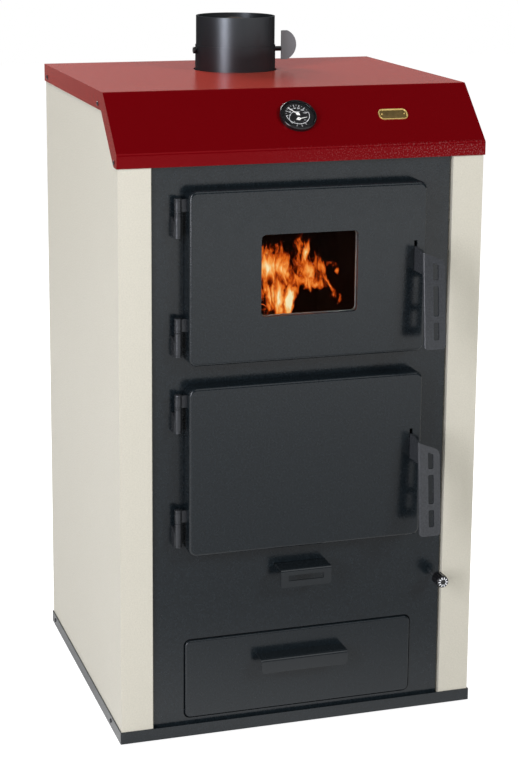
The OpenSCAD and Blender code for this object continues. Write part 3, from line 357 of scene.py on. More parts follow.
finishes = {
    "red_enamel": coat_finish(
        "red enamel", (0.190, 0.0005, 0.003), 0.20, peel=620.0, tone=0.05, strength=0.5,
        depth=0.0003, shine=0.12, metal=0.28, sheen=0.40, sheen_rough=0.3,
        sheen_tint=(1.0, 0.16, 0.10)),
    "cream_paint": coat_finish(
        "cream coat", (0.685, 0.655, 0.55), 0.42, peel=430.0, tone=0.03, strength=0.6,
        depth=0.0006, speckle=0.2),
    "charcoal_paint": coat_finish(
        "charcoal coat", (0.0085, 0.0125, 0.0155), 0.20, peel=330.0, strength=0.4, depth=0.0002,
        speckle=1.5),
    "pull_black": coat_finish(
        "pull black", (0.0110, 0.0145, 0.0170), 0.11, peel=500.0, spread=0.04, strength=0.2,
        shine=0.62),
    "handle_black": coat_finish(
        "handle black", (0.040, 0.043, 0.048), 0.22, peel=400.0, strength=0.6, depth=0.0003,
        speckle=1.0),
    "flue_black": coat_finish(
        "flue black", (0.094, 0.102, 0.110), 0.35, peel=600.0, tone=0.10, strength=0.25,
        depth=0.00015, metal=0.85, rim=0.10),
    "hinge_black": coat_finish(
        "hinge black", (0.050, 0.053, 0.058), 0.22, peel=420.0, tone=0.3, strength=0.8,
        depth=0.0007, metal=0.5),
    "damper_grey": coat_finish(
        "damper grey", (0.235, 0.250, 0.262), 0.42, peel=700.0, tone=0.10, depth=0.0002),
    "thread_black": coat_finish("thread black", (0.012, 0.012, 0.013), 0.30, strength=0.2),
    "gauge_black": coat_finish(
        "gauge black", (0.010, 0.010, 0.011), 0.16, peel=300.0, tone=0.05, spread=0.05,
        strength=0.05, depth=0.00005, coat=0.5, coat_rough=0.05),
    "dial_black": coat_finish(
        "dial black", (0.012, 0.012, 0.013), 0.55, peel=1200.0, strength=0.1),
    # Needle white has a painted glow, so that the needles and hub caps read as brightly lit
    "needle_white": coat_finish(
        "needle white", (0.86, 0.85, 0.82), 0.5, strength=0.1, painted_glow=0.45),
    "knob_plastic": coat_finish(
        "knob black", (0.010, 0.010, 0.011), 0.14, peel=250.0, tone=0.05, spread=0.05,
        strength=0.05, depth=0.00005, coat=0.4, coat_rough=0.05),
    "boiler_plate": metal_finish(
        "boiler plate", (0.035, 0.030, 0.027), (0.012, 0.010, 0.009), 0.78, scale=220.0,
        blotch=14.0, spread=0.1, metal=0.1),
    "zinc_sheet": metal_finish(
        "zinc sheet", (0.45, 0.46, 0.47), (0.40, 0.41, 0.425), 0.38, scale=500.0, blotch=120.0,
        spread=0.12),
    "bright_steel": metal_finish(
        "bright steel", (0.60, 0.60, 0.61), (0.50, 0.50, 0.51), 0.26, scale=900.0, blotch=60.0,
        spread=0.12),
    "grate_iron": metal_finish(
        "grate iron", (0.075, 0.070, 0.066), (0.16, 0.13, 0.11), 0.66, scale=260.0, blotch=30.0,
        metal=0.5, strength=0.6, depth=0.0006),
    "brass": metal_finish(
        "plain brass", (0.90, 0.68, 0.26), (0.78, 0.56, 0.18), 0.28, scale=600.0, blotch=40.0,
        metal=0.5),
    "copper_tube": metal_finish(
        "copper tube", (0.72, 0.40, 0.26), (0.50, 0.24, 0.14), 0.30, scale=600.0, blotch=60.0),
    "fire_board": board_finish(),
    "seal_rope": rope_finish(),
    "window_glass": glass_finish(),
    "lens_glass": lens_finish(),
}
# White print ink with a painted glow; the knob's painted highlights are laid in it too
glowing_ink = coat_finish("glowing ink", (0.80, 0.82, 0.84), 0.6, strength=0.05, painted_glow=0.22)
aged_brass = metal_finish("aged brass", (0.26, 0.18, 0.065), (0.16, 0.11, 0.04), 0.42,
                          scale=600.0, blotch=90.0, metal=0.6)


def paint(piece, finish):
    piece.data.materials.clear()
    piece.data.materials.append(finish)


# Rounding of sharp edges: angles in degrees
EDGE_WIDTH = 0.0005
EDGE_ANGLE = 38
JOIN_GAP = 0.00001
FLAT_ANGLE = 0.5


def soften_edges(piece, width, join_faces):
    """Joins a node's triangles and rounds its sharp edges a little, to catch the light."""
    for face in piece.data.polygons:
        face.use_smooth = True
    weld = piece.modifiers.new("join", "WELD")
    weld.merge_threshold = JOIN_GAP
    if join_faces:
        flat = piece.modifiers.new("flat", "DECIMATE")
        flat.decimate_type = "DISSOLVE"
        flat.angle_limit = math.radians(FLAT_ANGLE)
    edge = piece.modifiers.new("edge", "BEVEL")
    edge.width = width
    edge.segments = 2
    edge.limit_method = "ANGLE"
    edge.angle_limit = math.radians(EDGE_ANGLE)
    edge.use_clamp_overlap = True
    level = piece.modifiers.new("level", "WEIGHTED_NORMAL")
    level.weight = 100


# Nodes whose finish is a nearer match to the photograph than their slot's
OWN_FINISH = {
    "damper_handle": "damper_grey", "damper_spindle": "thread_black",
    "gauge_glass": "lens_glass", "drawer_handle": "pull_black", "shaker_pull": "pull_black",
    "fixed_knuckles": "hinge_black", "upper_door_knuckles": "hinge_black",
    "lower_door_knuckles": "hinge_black"}

# Small pieces with a finer edge, and thin ones whose triangles aren't joined to flat faces
FINE_EDGE = {
    "gauge_case": 0.0002, "gauge_glass": 0.0002, "upper_door_knuckles": 0.0002,
    "lower_door_knuckles": 0.0002, "temperature_needle": 0.00006, "pressure_needle": 0.00006}
THIN_PIECES = ("upper_latch_lever", "lower_latch_lever")

for name, node in nodes.items():
    paint(node, finishes[OWN_FINISH.get(name, slot_of[name])])
    soften_edges(node, FINE_EDGE.get(name, EDGE_WIDTH), join_faces=name not in THIN_PIECES)


# Piece helpers: each piece is shaped round the origin and set in place at the end
def deselect():
    bpy.ops.object.select_all(action="DESELECT")


def choose(piece):
    deselect()
    piece.select_set(True)
    bpy.context.view_layer.objects.active = piece


def edit(piece):
    choose(piece)
    bpy.ops.object.mode_set(mode="EDIT")
    bpy.ops.mesh.select_all(action="SELECT")


def leave_edit():
    bpy.ops.object.mode_set(mode="OBJECT")


def apply_modifier(piece, kind, **values):
    choose(piece)
    modifier = piece.modifiers.new("step", kind)
    for key, value in values.items():
        setattr(modifier, key, value)
    bpy.ops.object.modifier_apply(modifier=modifier.name)


def turn_about(axis, angle):
    return Matrix.Rotation(math.radians(angle), 4, axis)


def shift_by(piece, x, y):
    """Moves a chosen piece's mesh and leaves its object at the origin."""
    piece.matrix_world = Matrix.Translation((x, y, 0))
    bpy.ops.object.transform_apply(location=True)


def settle(piece, name, body, finish, frame_at=None, smooth=35):
    """Sets the piece in place, leaves its object at the origin, and gives it finish and body."""
    if frame_at is not None:
        piece.matrix_world = frame_at @ piece.matrix_world
    choose(piece)
    bpy.ops.object.transform_apply(location=True, rotation=True, scale=True)
    edit(piece)
    bpy.ops.mesh.normals_make_consistent(inside=False)
    leave_edit()
    if smooth:
        bpy.ops.object.shade_smooth_by_angle(angle=math.radians(smooth))
    piece.name = name
    piece.data.name = name
    paint(piece, finish)
    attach(piece, body)


def add_sheet(wide, high):
    """A flat sheet of four corners, with its middle at the origin."""
    deselect()
    bpy.ops.mesh.primitive_plane_add(size=1)
    sheet = bpy.context.object
    edit(sheet)
    bpy.ops.transform.resize(value=(wide, high, 1), center_override=(0, 0, 0))
    return sheet


def turned(rings, steps):
    """A turned piece: a disc drawn out ring by ring. Each ring is (height, radius)."""
    deselect()
    bpy.ops.mesh.primitive_circle_add(vertices=steps, radius=rings[0][1], fill_type="NGON",
                                      location=(0, 0, rings[0][0]))
    piece = bpy.context.object
    bpy.ops.object.transform_apply(location=True)
    edit(piece)
    for (z0, r0), (z1, r1) in zip(rings, rings[1:]):
        bpy.ops.mesh.extrude_region_move(TRANSFORM_OT_translate={"value": (0, 0, z1 - z0)})
        bpy.ops.transform.resize(value=(r1 / r0, r1 / r0, 1), center_override=(0, 0, z1))
    leave_edit()
    return piece


def join(pieces):
    deselect()
    for piece in pieces:
        piece.select_set(True)
    bpy.context.view_layer.objects.active = pieces[0]
    bpy.ops.object.join()
    return pieces[0]


# Slope of the lid, as a frame: x across, y up the slope, z out of it. A face leans forwards when
# its normal's shares of -y and z are in these bounds, and two are flush past the last figure
LEAN_FORWARDS = (0.5, 0.9)
LEAN_UPWARDS = 0.5
FLUSH = 0.9999


def find_slope():
    """The lid's front slope: the middle of its lowest edge, and its turn about x."""
    mesh = nodes["top_lid"].data
    least, most = LEAN_FORWARDS
    leaning = [f for f in mesh.polygons
               if least < -f.normal.y < most and f.normal.z > LEAN_UPWARDS]
    widest = max(leaning, key=lambda f: f.area)
    flush = [f for f in leaning if f.normal.dot(widest.normal) > FLUSH]
    corners = [mesh.vertices[i].co for f in flush for i in f.vertices]
    lowest = min(corners, key=lambda corner: corner.z)
    return Vector((0, lowest.y, lowest.z)), math.atan2(-widest.normal.y, widest.normal.z)


SLOPE_FOOT, SLOPE_TURN = find_slope()
UP_SLOPE = Vector((0, math.cos(SLOPE_TURN), math.sin(SLOPE_TURN)))


def slope_frame(x, along, out=0.0):
    turn = Matrix.Rotation(SLOPE_TURN, 4, "X")
    return Matrix.Translation(SLOPE_FOOT) @ turn @ Matrix.Translation((x, along, out))


def middle_of(name):
    low, high = (Vector(corner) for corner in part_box(name))
    return (low + high) / 2


# Flecks on the lid's front lip: their scale, the clear coat's index and roughness, how far the
# lip reaches behind the slope's foot, and the span across in which they go from none to all
FLECK_SCALE = 430.0
FLECK_IOR = 1.75
FLECK_ROUGH = 0.3
LIP_REACH = 0.0015
FLECK_SPAN = (-0.10, 0.29)


def add_lip_flecks(finish):
    """Clear flecks in the enamel of the front lip, more of them towards its right end."""
    tree = finish.node_tree
    shader = tree.nodes["Principled BSDF"]
    place = object_coords(tree)
    fleck = ramp(tree, noise(tree, place, FLECK_SCALE, 1.0)["Fac"], [(0.54, 0.0), (0.66, 1.0)])
    split = tree.nodes.new("ShaderNodeSeparateXYZ")
    link(tree, place, split.inputs[0])
    on_lip = calc(tree, "LESS_THAN", split.outputs["Y"], SLOPE_FOOT.y + LIP_REACH)
    rightwards = spread_over(tree, split.outputs["X"], FLECK_SPAN)
    share = calc(tree, "MULTIPLY", calc(tree, "MULTIPLY", fleck, on_lip), rightwards)
    link(tree, share, shader.inputs["Coat Weight"])
    shader.inputs["Coat IOR"].default_value = FLECK_IOR
    shader.inputs["Coat Roughness"].default_value = FLECK_ROUGH


add_lip_flecks(finishes["red_enamel"])


# Gauge: height of the print over the slope, thickness of the ink, how far the two pointers' hubs
# lie above and below the middle, and how far up the slope the middle lies
DIAL_UP = 0.0026
INK_T = 0.00012
TEMPERATURE_HUB = 0.003
PRESSURE_HUB = -0.006
GAUGE_ALONG = (middle_of("gauge_dial") - SLOPE_FOOT).dot(UP_SLOPE)


# The dial's two scales, in metres from the hub and degrees: hub, arc (inner, outer, start, stop),
# steps in the arc, numbers, place of the first and way to the next, tick (inner, outer, width),
# and the numbers' radius and size. The upper scale has half ticks too
SCALES = [
    (TEMPERATURE_HUB, (0.0180, 0.0188, 8, 190), 60, range(0, 140, 20), 186, 29,
     (0.0152, 0.0187, 0.0009), (0.0122, 0.0040)),
    (PRESSURE_HUB, (0.0143, 0.0149, -150, -12), 44, range(5), -14, 33.5,
     (0.0118, 0.0149, 0.0006), (0.0094, 0.0030)),
]
HALF_TICK = (0.0168, 0.0187, 0.0004)
ARC_BAR = 0.0002


def add_bar(inner, outer, width):
    """A flat bar along x, between two distances from the origin."""
    bar = add_sheet(outer - inner, width)
    bpy.ops.transform.translate(value=((outer + inner) / 2, 0, 0))
    return bar


def set_round_hub(piece, hub, angle):
    piece.matrix_world = Matrix.Translation((0, hub, 0)) @ turn_about("Z", angle)
    bpy.ops.object.transform_apply(location=True, rotation=True)
    return piece


def add_arc(inner, outer, start, stop, hub, steps):
    """A flat band between two radii: one long edge of a narrow bar, spun round the hub."""
    band = add_bar(inner, outer, ARC_BAR)
    bpy.ops.mesh.delete(type="ONLY_FACE")
    leave_edit()
    mesh = band.data
    for v in mesh.vertices:
        v.select = v.co.y > 0
    for e in mesh.edges:
        e.select = all(mesh.vertices[i].co.y > 0 for i in e.vertices)
    bpy.ops.object.mode_set(mode="EDIT")
    bpy.ops.mesh.select_mode(type="VERT")
    bpy.ops.mesh.select_all(action="INVERT")
    bpy.ops.mesh.delete(type="VERT")
    bpy.ops.mesh.select_all(action="SELECT")
    bpy.ops.mesh.spin(steps=steps, angle=math.radians(stop - start), center=(0, 0, 0),
                      axis=(0, 0, 1))
    leave_edit()
    return set_round_hub(band, hub, start)


def add_tick(inner, outer, width, angle, hub):
    tick = add_bar(inner, outer, width)
    leave_edit()
    return set_round_hub(tick, hub, angle)


def add_number(text, radius, angle, hub, size):
    """An upright number at a place round the hub."""
    turn = math.radians(angle)
    deselect()
    bpy.ops.object.text_add(location=(radius * math.cos(turn), hub + radius * math.sin(turn), 0))
    label = bpy.context.object
    label.data.body = text
    label.data.size = size
    label.data.align_x = "CENTER"
    label.data.align_y = "CENTER"
    bpy.ops.object.convert(target="MESH")
    bpy.ops.object.transform_apply(location=True)
    return bpy.context.object


def ink_over(marks, name, body, place):
    """Joins flat marks to one thin layer of ink."""
    ink = join(marks)
    apply_modifier(ink, "SOLIDIFY", thickness=INK_T, offset=0)
    settle(ink, name, body, glowing_ink, place, smooth=0)


def add_dial_print():
    """Arcs, ticks and plain numbers, clockwise round each hub."""
    marks = [add_arc(*arc, hub, steps) for hub, arc, steps, *_ in SCALES]
    labels = []
    for hub, _, _, values, first, way, tick, (radius, size) in SCALES:
        for i, value in enumerate(values):
            angle = first - i * way
            marks.append(add_tick(*tick, angle, hub))
            if hub == TEMPERATURE_HUB and value != values[-1]:
                marks.append(add_tick(*HALF_TICK, angle - way / 2, hub))
            labels.append(add_number(str(value), radius, angle, hub, size))
    ink_over(marks + labels, "dial_scale", "cabinet", slope_frame(0, GAUGE_ALONG, DIAL_UP))


add_dial_print()


# Domed caps on the two pointers' hubs: rings of (height, radius), and heights over the slope
CAP_RINGS = [(0, 0.0029), (0.00025, 0.0029), (0.00045, 0.0025), (0.00058, 0.0015)]
TEMPERATURE_CAP_UP = 0.0042
PRESSURE_CAP_UP = 0.0033


def add_hub_cap(name, body, hub, up):
    cap = turned(CAP_RINGS, 32)
    settle(cap, name, body, finishes["needle_white"], slope_frame(0, GAUGE_ALONG + hub, up))


add_hub_cap("temperature_cap", "temperature_pointer", TEMPERATURE_HUB, TEMPERATURE_CAP_UP)
add_hub_cap("pressure_cap", "pressure_pointer", PRESSURE_HUB, PRESSURE_CAP_UP)


# Painted highlights round the air knob's face: white streaks that stand in for the glints on its
# flutes. How many, and inner end, outer end and width to its radius
KNOB_GLINTS = 10
GLINT_INNER, GLINT_OUTER, GLINT_WIDE = 0.42, 0.78, 0.16


def add_knob_marks():
    low, high = (Vector(corner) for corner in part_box("air_knob"))
    middle = middle_of("air_knob")
    radius = (high.x - low.x) / 2
    size = [share * radius for share in (GLINT_INNER, GLINT_OUTER, GLINT_WIDE)]
    # Each streak is a painted glint in the glowing ink, not print on the knob
    marks = [add_tick(*size, i * 360 / KNOB_GLINTS, 0) for i in range(KNOB_GLINTS)]
    face = Matrix.Translation((middle.x, low.y - INK_T / 4, middle.z)) @ turn_about("X", 90)
    ink_over(marks, "knob_glints", "air_control", face)


add_knob_marks()


# Blank plate on the slope, right of the gauge: a bright rim round an aged field, and two pins.
# Each step of its face is (inwards, outwards), and a pin's rings are (over the plate, radius)
PLATE_ACROSS, PLATE_ALONG = 0.1532, 0.0562
PLATE_WIDE, PLATE_HIGH, PLATE_T = 0.0468, 0.0200, 0.0020
PLATE_CORNER = 0.0075
PLATE_EDGE = 0.0003
PLATE_STEPS = [(0.0014, 0), (0.0006, -0.0011), (0.0022, 0), (0.0004, 0.0003)]
PLATE_RIM = 0.0022
FIELD_UNDER = 0.0006
PIN_IN = 0.0052
PIN_RINGS = [(-0.001, 0.0012), (0.0001, 0.0012), (0.0004, 0.0010), (0.0006, 0.0005)]

# A face is on top when it looks up by this share and its middle is this near to the height
FACES_UP = 0.9
AT_HEIGHT = 0.00005


def select_top(piece, height):
    for face in piece.data.polygons:
        level = abs(face.center.z - height) < AT_HEIGHT
        face.select = face.normal.z > FACES_UP and level


def shape_plate():
    plate = add_sheet(PLATE_WIDE, PLATE_HIGH)
    bpy.ops.mesh.bevel(offset=PLATE_CORNER, segments=8, affect="VERTICES")
    bpy.ops.mesh.select_all(action="SELECT")
    bpy.ops.mesh.extrude_region_move(TRANSFORM_OT_translate={"value": (0, 0, PLATE_T)})
    bpy.ops.mesh.select_all(action="SELECT")
    bpy.ops.mesh.normals_make_consistent(inside=False)
    bpy.ops.mesh.select_mode(type="FACE")
    bpy.ops.mesh.select_all(action="DESELECT")
    leave_edit()
    select_top(plate, PLATE_T)
    bpy.ops.object.mode_set(mode="EDIT")
    for inwards, outwards in PLATE_STEPS:
        bpy.ops.mesh.inset(thickness=inwards, depth=outwards)
    leave_edit()
    apply_modifier(plate, "BEVEL", width=PLATE_EDGE, segments=3, limit_method="ANGLE")
    return plate


def add_pin(x):
    pin = turned([(PLATE_T + over, radius) for over, radius in PIN_RINGS], 20)
    pin.matrix_world = Matrix.Translation((x, 0, 0))
    return pin


def add_plate():
    pins = PLATE_WIDE / 2 - PIN_IN
    place = slope_frame(PLATE_ACROSS, PLATE_ALONG)
    whole = join([shape_plate(), add_pin(-pins), add_pin(pins)])
    settle(whole, "blank_plate", "cabinet", finishes["brass"], place)
    whole.data.materials.append(aged_brass)
    back = place.inverted()
    for face in whole.data.polygons:
        x, y, z = back @ face.center
        field = abs(x) < PLATE_WIDE / 2 - PLATE_RIM and abs(y) < PLATE_HIGH / 2 - PLATE_RIM
        face.material_index = 1 if field and z < PLATE_T - FIELD_UNDER else 0


add_plate()


# Fire: logs, embers and flames inside the firebox
def bark_finish():
    """Burning wood: charred bark with glowing cracks."""
    mat, tree, shader = new_material("burning bark", (0.05, 0.04, 0.03), 0.9)
    place = object_coords(tree)
    crack = add_node(tree, "ShaderNodeTexVoronoi", feature="DISTANCE_TO_EDGE", Scale=70.0)
    link(tree, mapped(tree, place, Scale=(1.0, 0.25, 1.0)), crack.inputs["Vector"])
    patch = noise(tree, place, 14.0, 4.0)["Fac"]
    tint = ramp(tree, patch, [(0.35, (0.012, 0.010, 0.009)), (0.65, (0.075, 0.055, 0.042))])
    link(tree, tint, shader.inputs["Base Color"])
    seam = ramp(tree, crack.outputs["Distance"], [(0.02, 1.0), (0.09, 0.0)])
    live = ramp(tree, patch, [(0.48, 0.0), (0.66, 1.0)])
    heat = ramp(tree, calc(tree, "MULTIPLY", seam, live), [
        (0.0, (0.0, 0.0, 0.0)), (0.5, (0.65, 0.07, 0.01)), (1.0, (1.0, 0.35, 0.06))])
    link(tree, heat, shader.inputs["Emission Color"])
    shader.inputs["Emission Strength"].default_value = 1.6
    bump(tree, shader, crack.outputs["Distance"], 0.8, 0.004)
    return mat


def ember_finish():
    """Embers on the grate: dark clinker with a red glow between."""
    mat, tree, shader = new_material("embers", (0.05, 0.04, 0.035), 0.95)
    lump = add_node(tree, "ShaderNodeTexVoronoi", Scale=60.0)
    link(tree, object_coords(tree), lump.inputs["Vector"])
    away = lump.outputs["Distance"]
    tint = ramp(tree, away, [(0.1, (0.02, 0.018, 0.016)), (0.7, (0.14, 0.12, 0.11))])
    link(tree, tint, shader.inputs["Base Color"])
    heat = ramp(tree, away, [
        (0.35, (0.0, 0.0, 0.0)), (0.6, (0.8, 0.10, 0.01)), (0.9, (1.0, 0.4, 0.08))])
    link(tree, heat, shader.inputs["Emission Color"])
    shader.inputs["Emission Strength"].default_value = 2.0
    bump(tree, shader, away, 0.9, 0.006)
    return mat


def roughen(piece, name, size, depth, strength, seed):
    """Pushes a chosen piece's surface in and out. Its seed moves it meanwhile, so each differs."""
    rough = bpy.data.textures.new(name, "CLOUDS")
    rough.noise_scale = size
    rough.noise_depth = depth
    shift_by(piece, seed, seed)
    apply_modifier(piece, "DISPLACE", texture=rough, strength=strength, mid_level=0.5)
    shift_by(piece, -seed, -seed)


# Logs: fineness of their mesh, size of their bumps and how far these go, and how far the next
# log's bumps are from the last one's
LOG_CELL = 0.0055
BARK_LUMP = 0.035
BARK_PUSH = 0.012
NEXT_LOG = 0.31


def add_log(name, radius, length, middle, turn, cut, seed):
    """A split log along y: a rough cylinder with one flat cleft side."""
    deselect()
    bpy.ops.mesh.primitive_cylinder_add(vertices=28, radius=radius, depth=length)
    log = bpy.context.object
    edit(log)
    bpy.ops.mesh.bisect(plane_co=(radius * cut, 0, 0), plane_no=(1, 0.15, 0), use_fill=True,
                        clear_outer=True)
    bpy.ops.mesh.select_all(action="SELECT")
    bpy.ops.mesh.quads_convert_to_tris()
    leave_edit()
    apply_modifier(log, "REMESH", mode="VOXEL", voxel_size=LOG_CELL)
    roughen(log, name, BARK_LUMP, 3, BARK_PUSH, seed)
    log.matrix_world = Matrix.Translation(middle) @ turn_about("Y", turn) @ turn_about("X", 90)
    settle(log, name, "cabinet", bark, smooth=60)


# Bed of embers on the grate: width and depth, middle of its underside, thickness, size of its
# lumps, how far they go, and the share of the texture below which they go down
BED_SIZE = (0.26, 0.28)
BED_PLACE = (0, -0.03, 0.304)
BED_T = 0.012
EMBER_LUMP = 0.03
EMBER_PUSH = 0.022
EMBER_LEVEL = 0.3


def add_ember_bed():
    deselect()
    bpy.ops.mesh.primitive_grid_add(x_subdivisions=60, y_subdivisions=60, size=1)
    bed = bpy.context.object
    bed.scale = (*BED_SIZE, 1)
    bed.location = BED_PLACE
    bpy.ops.object.transform_apply(location=True, scale=True)
    edit(bed)
    bpy.ops.mesh.extrude_region_move(TRANSFORM_OT_translate={"value": (0, 0, BED_T)})
    leave_edit()
    rough = bpy.data.textures.new("embers", "VORONOI")
    rough.noise_scale = EMBER_LUMP
    top = bed.vertex_groups.new(name="top")
    half_way = BED_PLACE[2] + BED_T / 2
    top.add([v.index for v in bed.data.vertices if v.co.z > half_way], 1.0, "REPLACE")
    apply_modifier(bed, "DISPLACE", texture=rough, strength=EMBER_PUSH, mid_level=EMBER_LEVEL,
                   vertex_group="top", direction="Z")
    settle(bed, "ember_bed", "cabinet", ember_finish(), smooth=60)


bark = bark_finish()
add_ember_bed()

# Logs: radius, length, middle, turn in degrees, and how far from the middle the cleft side is, as
# a share of the radius
LOGS = [
    (0.046, 0.33, (-0.088, -0.010, 0.370), 20, 0.55),
    (0.050, 0.34, (0.010, -0.015, 0.378), 200, 0.50),
    (0.044, 0.32, (0.096, -0.012, 0.366), 110, 0.60),
    (0.048, 0.33, (-0.092, -0.008, 0.462), 160, 0.55),
    (0.045, 0.32, (-0.002, -0.010, 0.470), 250, 0.60),
    (0.046, 0.33, (0.090, -0.016, 0.458), 60, 0.50),
    (0.045, 0.31, (-0.060, -0.006, 0.550), 300, 0.55),
    (0.043, 0.32, (0.040, -0.012, 0.556), 30, 0.60),
]
for number, log in enumerate(LOGS, 1):
    add_log(f"log_{number}", *log, NEXT_LOG * number)


# Tongues of the fire on its sheet, seen from the front: middle (x, z), half width and half height,
# lean in degrees, and heat
TONGUES = [
    (-0.022, 0.722, 0.026, 0.030, 0, 1.15),
    (0.004, 0.716, 0.020, 0.032, -12, 0.85),
    (-0.026, 0.676, 0.007, 0.034, -16, 0.62),
    (-0.006, 0.668, 0.012, 0.042, 4, 1.25),
    (0.012, 0.662, 0.010, 0.036, 12, 1.55),
    (0.034, 0.738, 0.008, 0.026, 10, 0.85),
    (0.038, 0.712, 0.012, 0.022, -20, 0.80),
    (0.030, 0.694, 0.030, 0.015, 12, 0.62),
    (0.060, 0.716, 0.007, 0.022, -14, 0.55),
    (0.070, 0.690, 0.006, 0.018, -38, 0.50),
    (0.052, 0.688, 0.016, 0.008, 20, 0.50),
    (0.086, 0.716, 0.006, 0.005, -30, 0.42),
    (0.092, 0.664, 0.004, 0.010, -20, 0.30),
]

# Flames: share of their light that falls on the firebox, how softly tongues meet, depth of the
# streaks, size of the sheets' waves, and the swirls that bend the tongues as (scale, reach)
FLAME_CAST = 0.15
TONGUE_BLEND = 0.08
STREAK_DEPTH = 1.5
SHEET_WAVE = 0.12
SWIRLS = [(26.0, (0.034, 0.0, 0.034)), (120.0, (0.012, 0.0, 0.020))]


def make_warp_group():
    """Licks: bends a place sideways and upwards by slow and quick swirls."""
    tree, start, end = new_group(
        "licking_warp", [("Vector", "v", (0, 0, 0)), ("Shift", "v", (0, 0, 0))],
        [("Vector", "v")])
    place = start.outputs["Vector"]
    moved = calc_vector(tree, "ADD", place, start.outputs["Shift"])["Vector"]
    tall = mapped(tree, moved, Scale=(1.0, 1.0, 0.45))
    for scale, reach in SWIRLS:
        swirl = noise(tree, tall, scale, 3.0)["Color"]
        level = calc_vector(tree, "SUBTRACT", swirl, (0.5, 0.5, 0.5))["Vector"]
        place = calc_vector(tree, "MULTIPLY_ADD", level, reach, place)["Vector"]
    link(tree, place, end.inputs["Vector"])
    return tree


licking_warp = make_warp_group()


def flame_finish(name, shift, heat_share):
    """Flame: the tongues, warped and streaked, from deep red at their rims to pale yellow."""
    mat, tree, shader = new_material(name, (0, 0, 0), 1.0)
    shader.inputs["Specular IOR Level"].default_value = 0.0
    warp = use_group(tree, licking_warp, Shift=shift)
    link(tree, object_coords(tree), warp.inputs["Vector"])
    bent = warp.outputs["Vector"]
    hottest = None
    for x, z, half_wide, half_high, lean, heat in TONGUES:
        near = mapped(tree, bent, vector_type="TEXTURE", Location=(x, 0, z),
                      Rotation=(0, math.radians(lean), 0), Scale=(half_wide, 1000.0, half_high))
        far = calc_vector(tree, "LENGTH", near)["Value"]
        peak = heat * heat_share
        tongue = calc(tree, "MULTIPLY_ADD", far, -peak, peak)
        hottest = tongue if hottest is None else calc(
            tree, "SMOOTH_MAX", hottest, tongue, TONGUE_BLEND)
    tall = mapped(tree, bent, Scale=(1.0, 1.0, 0.22))
    streak = noise(tree, tall, 190.0, 6.0, Roughness=0.62)["Fac"]
    heat = calc(tree, "MULTIPLY_ADD", centred(tree, streak), STREAK_DEPTH, hottest)
    tint = ramp(tree, heat, [
        (0.0, (0.05, 0.002, 0.0005)), (0.18, (0.38, 0.035, 0.003)), (0.38, (0.80, 0.15, 0.012)),
        (0.62, (1.0, 0.37, 0.075)), (0.84, (1.0, 0.60, 0.24)), (1.0, (1.0, 0.86, 0.52))])
    link(tree, tint, shader.inputs["Emission Color"])
    path = tree.nodes.new("ShaderNodeLightPath")
    cast = calc(tree, "MULTIPLY_ADD", path.outputs["Is Diffuse Ray"], FLAME_CAST - 1.0, 1.0)
    link(tree, cast, shader.inputs["Emission Strength"])
    link(tree, ramp(tree, heat, [(0.01, 0.0), (0.22, 0.92)]), shader.inputs["Alpha"])
    mat.cycles.emission_sampling = "NONE"
    return mat


def add_flame(name, low, high, depth, sway, finish, seed):
    """A flame front: a tall waved sheet between two corners, seen from the front."""
    deselect()
    bpy.ops.mesh.primitive_grid_add(x_subdivisions=36, y_subdivisions=36, size=1)
    sheet = bpy.context.object
    edit(sheet)
    bpy.ops.transform.resize(value=(high[0] - low[0], high[1] - low[1], 1),
                             center_override=(0, 0, 0))
    leave_edit()
    roughen(sheet, name, SHEET_WAVE, 2, sway, seed)
    middle = ((low[0] + high[0]) / 2, depth, (low[1] + high[1]) / 2)
    sheet.matrix_world = Matrix.Translation(middle) @ turn_about("X", 90)
    settle(sheet, name, "cabinet", finish, smooth=60)


add_flame("flame_front", (-0.155, 0.56), (0.150, 0.800), -0.145, 0.02,
          flame_finish("flame front", (0.0, 0.0, 0.0), 1.0), 0.4)
add_flame("flame_back", (-0.155, 0.56), (0.150, 0.790), -0.116, 0.01,
          flame_finish("flame back", (0.7, 0.3, 0.2), 0.55), 1.3)


# Floor: its strength for the camera, and its strength in reflections, which rises and falls along
# a way in front of the stove. The stops of that ramp are shares of its reach
FLOOR_SEEN = 0.92
FLOOR_WAY = (0.31, -0.95, 0.0)
FLOOR_REACH = (-1.0, 5.0)
FLOOR_MIRRORED = [(0.0, 0.08), (0.15, 0.20), (0.21, 0.80), (0.28, 0.24), (0.45, 0.27),
                  (0.72, 0.66), (0.88, 0.98)]


def add_floor():
    deselect()
    bpy.ops.mesh.primitive_plane_add(size=20)
    floor = bpy.context.object
    floor.name = "floor"
    mat, tree, shader = new_material("pale floor", (0.34, 0.34, 0.34), 0.75)
    place = object_coords(tree)
    tint = ramp(tree, noise(tree, place, 3.0, 2.0)["Fac"], [(0.3, 0.33), (0.7, 0.35)])
    link(tree, tint, shader.inputs["Base Color"])
    path = tree.nodes.new("ShaderNodeLightPath")
    seen = calc(tree, "MULTIPLY", path.outputs["Is Camera Ray"], FLOOR_SEEN)
    away = calc_vector(tree, "DOT_PRODUCT", place, FLOOR_WAY)["Value"]
    rise = ramp(tree, spread_over(tree, away, FLOOR_REACH), FLOOR_MIRRORED)
    bright = calc(tree, "MULTIPLY_ADD", path.outputs["Is Glossy Ray"], rise, seen)
    shader.inputs["Emission Color"].default_value = (1, 1, 1, 1)
    link(tree, bright, shader.inputs["Emission Strength"])
    mat.cycles.emission_sampling = "NONE"
    paint(floor, mat)


# Studio: its plain light, and what reflections show of it, which is a dim room, a backdrop low
# down behind the stove, and a bright sheet over its front
ROOM_LIGHT = 0.30
ROOM_SHINE = 0.05
BACKDROP = 0.27
BACKDROP_WAY = (0.30, 0.95, 0.0)
BACKDROP_EDGE = (0.5, 0.9)
BACKDROP_TOP = (0.25, 0.55)
OVERHEAD = 1.0
OVERHEAD_WAY = (0.22, -0.62, 0.75)
OVERHEAD_EDGE = (0.90, 0.97)


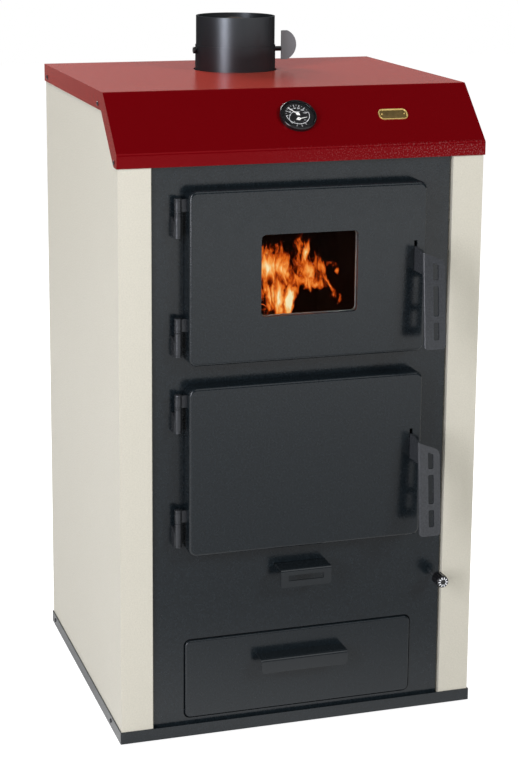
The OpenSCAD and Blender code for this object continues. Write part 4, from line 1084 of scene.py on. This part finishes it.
def add_world():
    """The studio. The camera sees white all round."""
    world = bpy.data.worlds.new("studio")
    world.use_nodes = True
    tree = world.node_tree
    back = tree.nodes["Background"]
    back.inputs["Color"].default_value = (1, 1, 1, 1)
    way = tree.nodes.new("ShaderNodeTexCoord").outputs["Generated"]
    split = tree.nodes.new("ShaderNodeSeparateXYZ")
    link(tree, way, split.inputs[0])
    across = calc_vector(tree, "DOT_PRODUCT", way, BACKDROP_WAY)["Value"]
    behind = spread_over(tree, across, BACKDROP_EDGE, (0.0, BACKDROP), "SMOOTHSTEP")
    low = spread_over(tree, split.outputs["Z"], BACKDROP_TOP, (1.0, 0.0), "SMOOTHSTEP")
    above = calc_vector(tree, "DOT_PRODUCT", way, OVERHEAD_WAY)["Value"]
    sheet = spread_over(tree, above, OVERHEAD_EDGE, (ROOM_SHINE, OVERHEAD), "SMOOTHSTEP")
    shown = calc(tree, "MULTIPLY_ADD", behind, low, sheet)
    path = tree.nodes.new("ShaderNodeLightPath").outputs
    mirror = calc(tree, "MAXIMUM", path["Is Glossy Ray"], path["Is Transmission Ray"])
    unseen = mix(tree, "FLOAT", mirror, ROOM_LIGHT, shown)
    seen = mix(tree, "FLOAT", path["Is Camera Ray"], unseen, 1.0)
    link(tree, seen, back.inputs["Strength"])
    bpy.context.scene.world = world


def add_lamp(name, place, aim, size, power, colour=(1, 1, 1)):
    bpy.ops.object.light_add(type="AREA", location=place)
    lamp = bpy.context.object
    lamp.name = name
    lamp.data.shape = "RECTANGLE"
    lamp.data.size, lamp.data.size_y = size
    lamp.data.energy = power
    lamp.data.color = colour
    lamp.rotation_mode = "QUATERNION"
    lamp.rotation_quaternion = (Vector(aim) - Vector(place)).to_track_quat("-Z", "Y")
    return lamp


add_floor()
add_world()
key = add_lamp("key", (3.4, -4.6, 3.6), (0, 0, 0.6), (1.6, 1.6), 190)
key.visible_glossy = False
add_lamp("fill", (-2.5, -2.1, 1.45), (0, 0, 1.05), (1.0, 2.6), 71, (1.0, 1.0, 1.08))
add_lamp("top", (-0.75, 2.6, 2.9), (0, 0, 1.0), (1.8, 1.8), 165)
bpy.context.scene.view_settings.view_transform = "Standard"
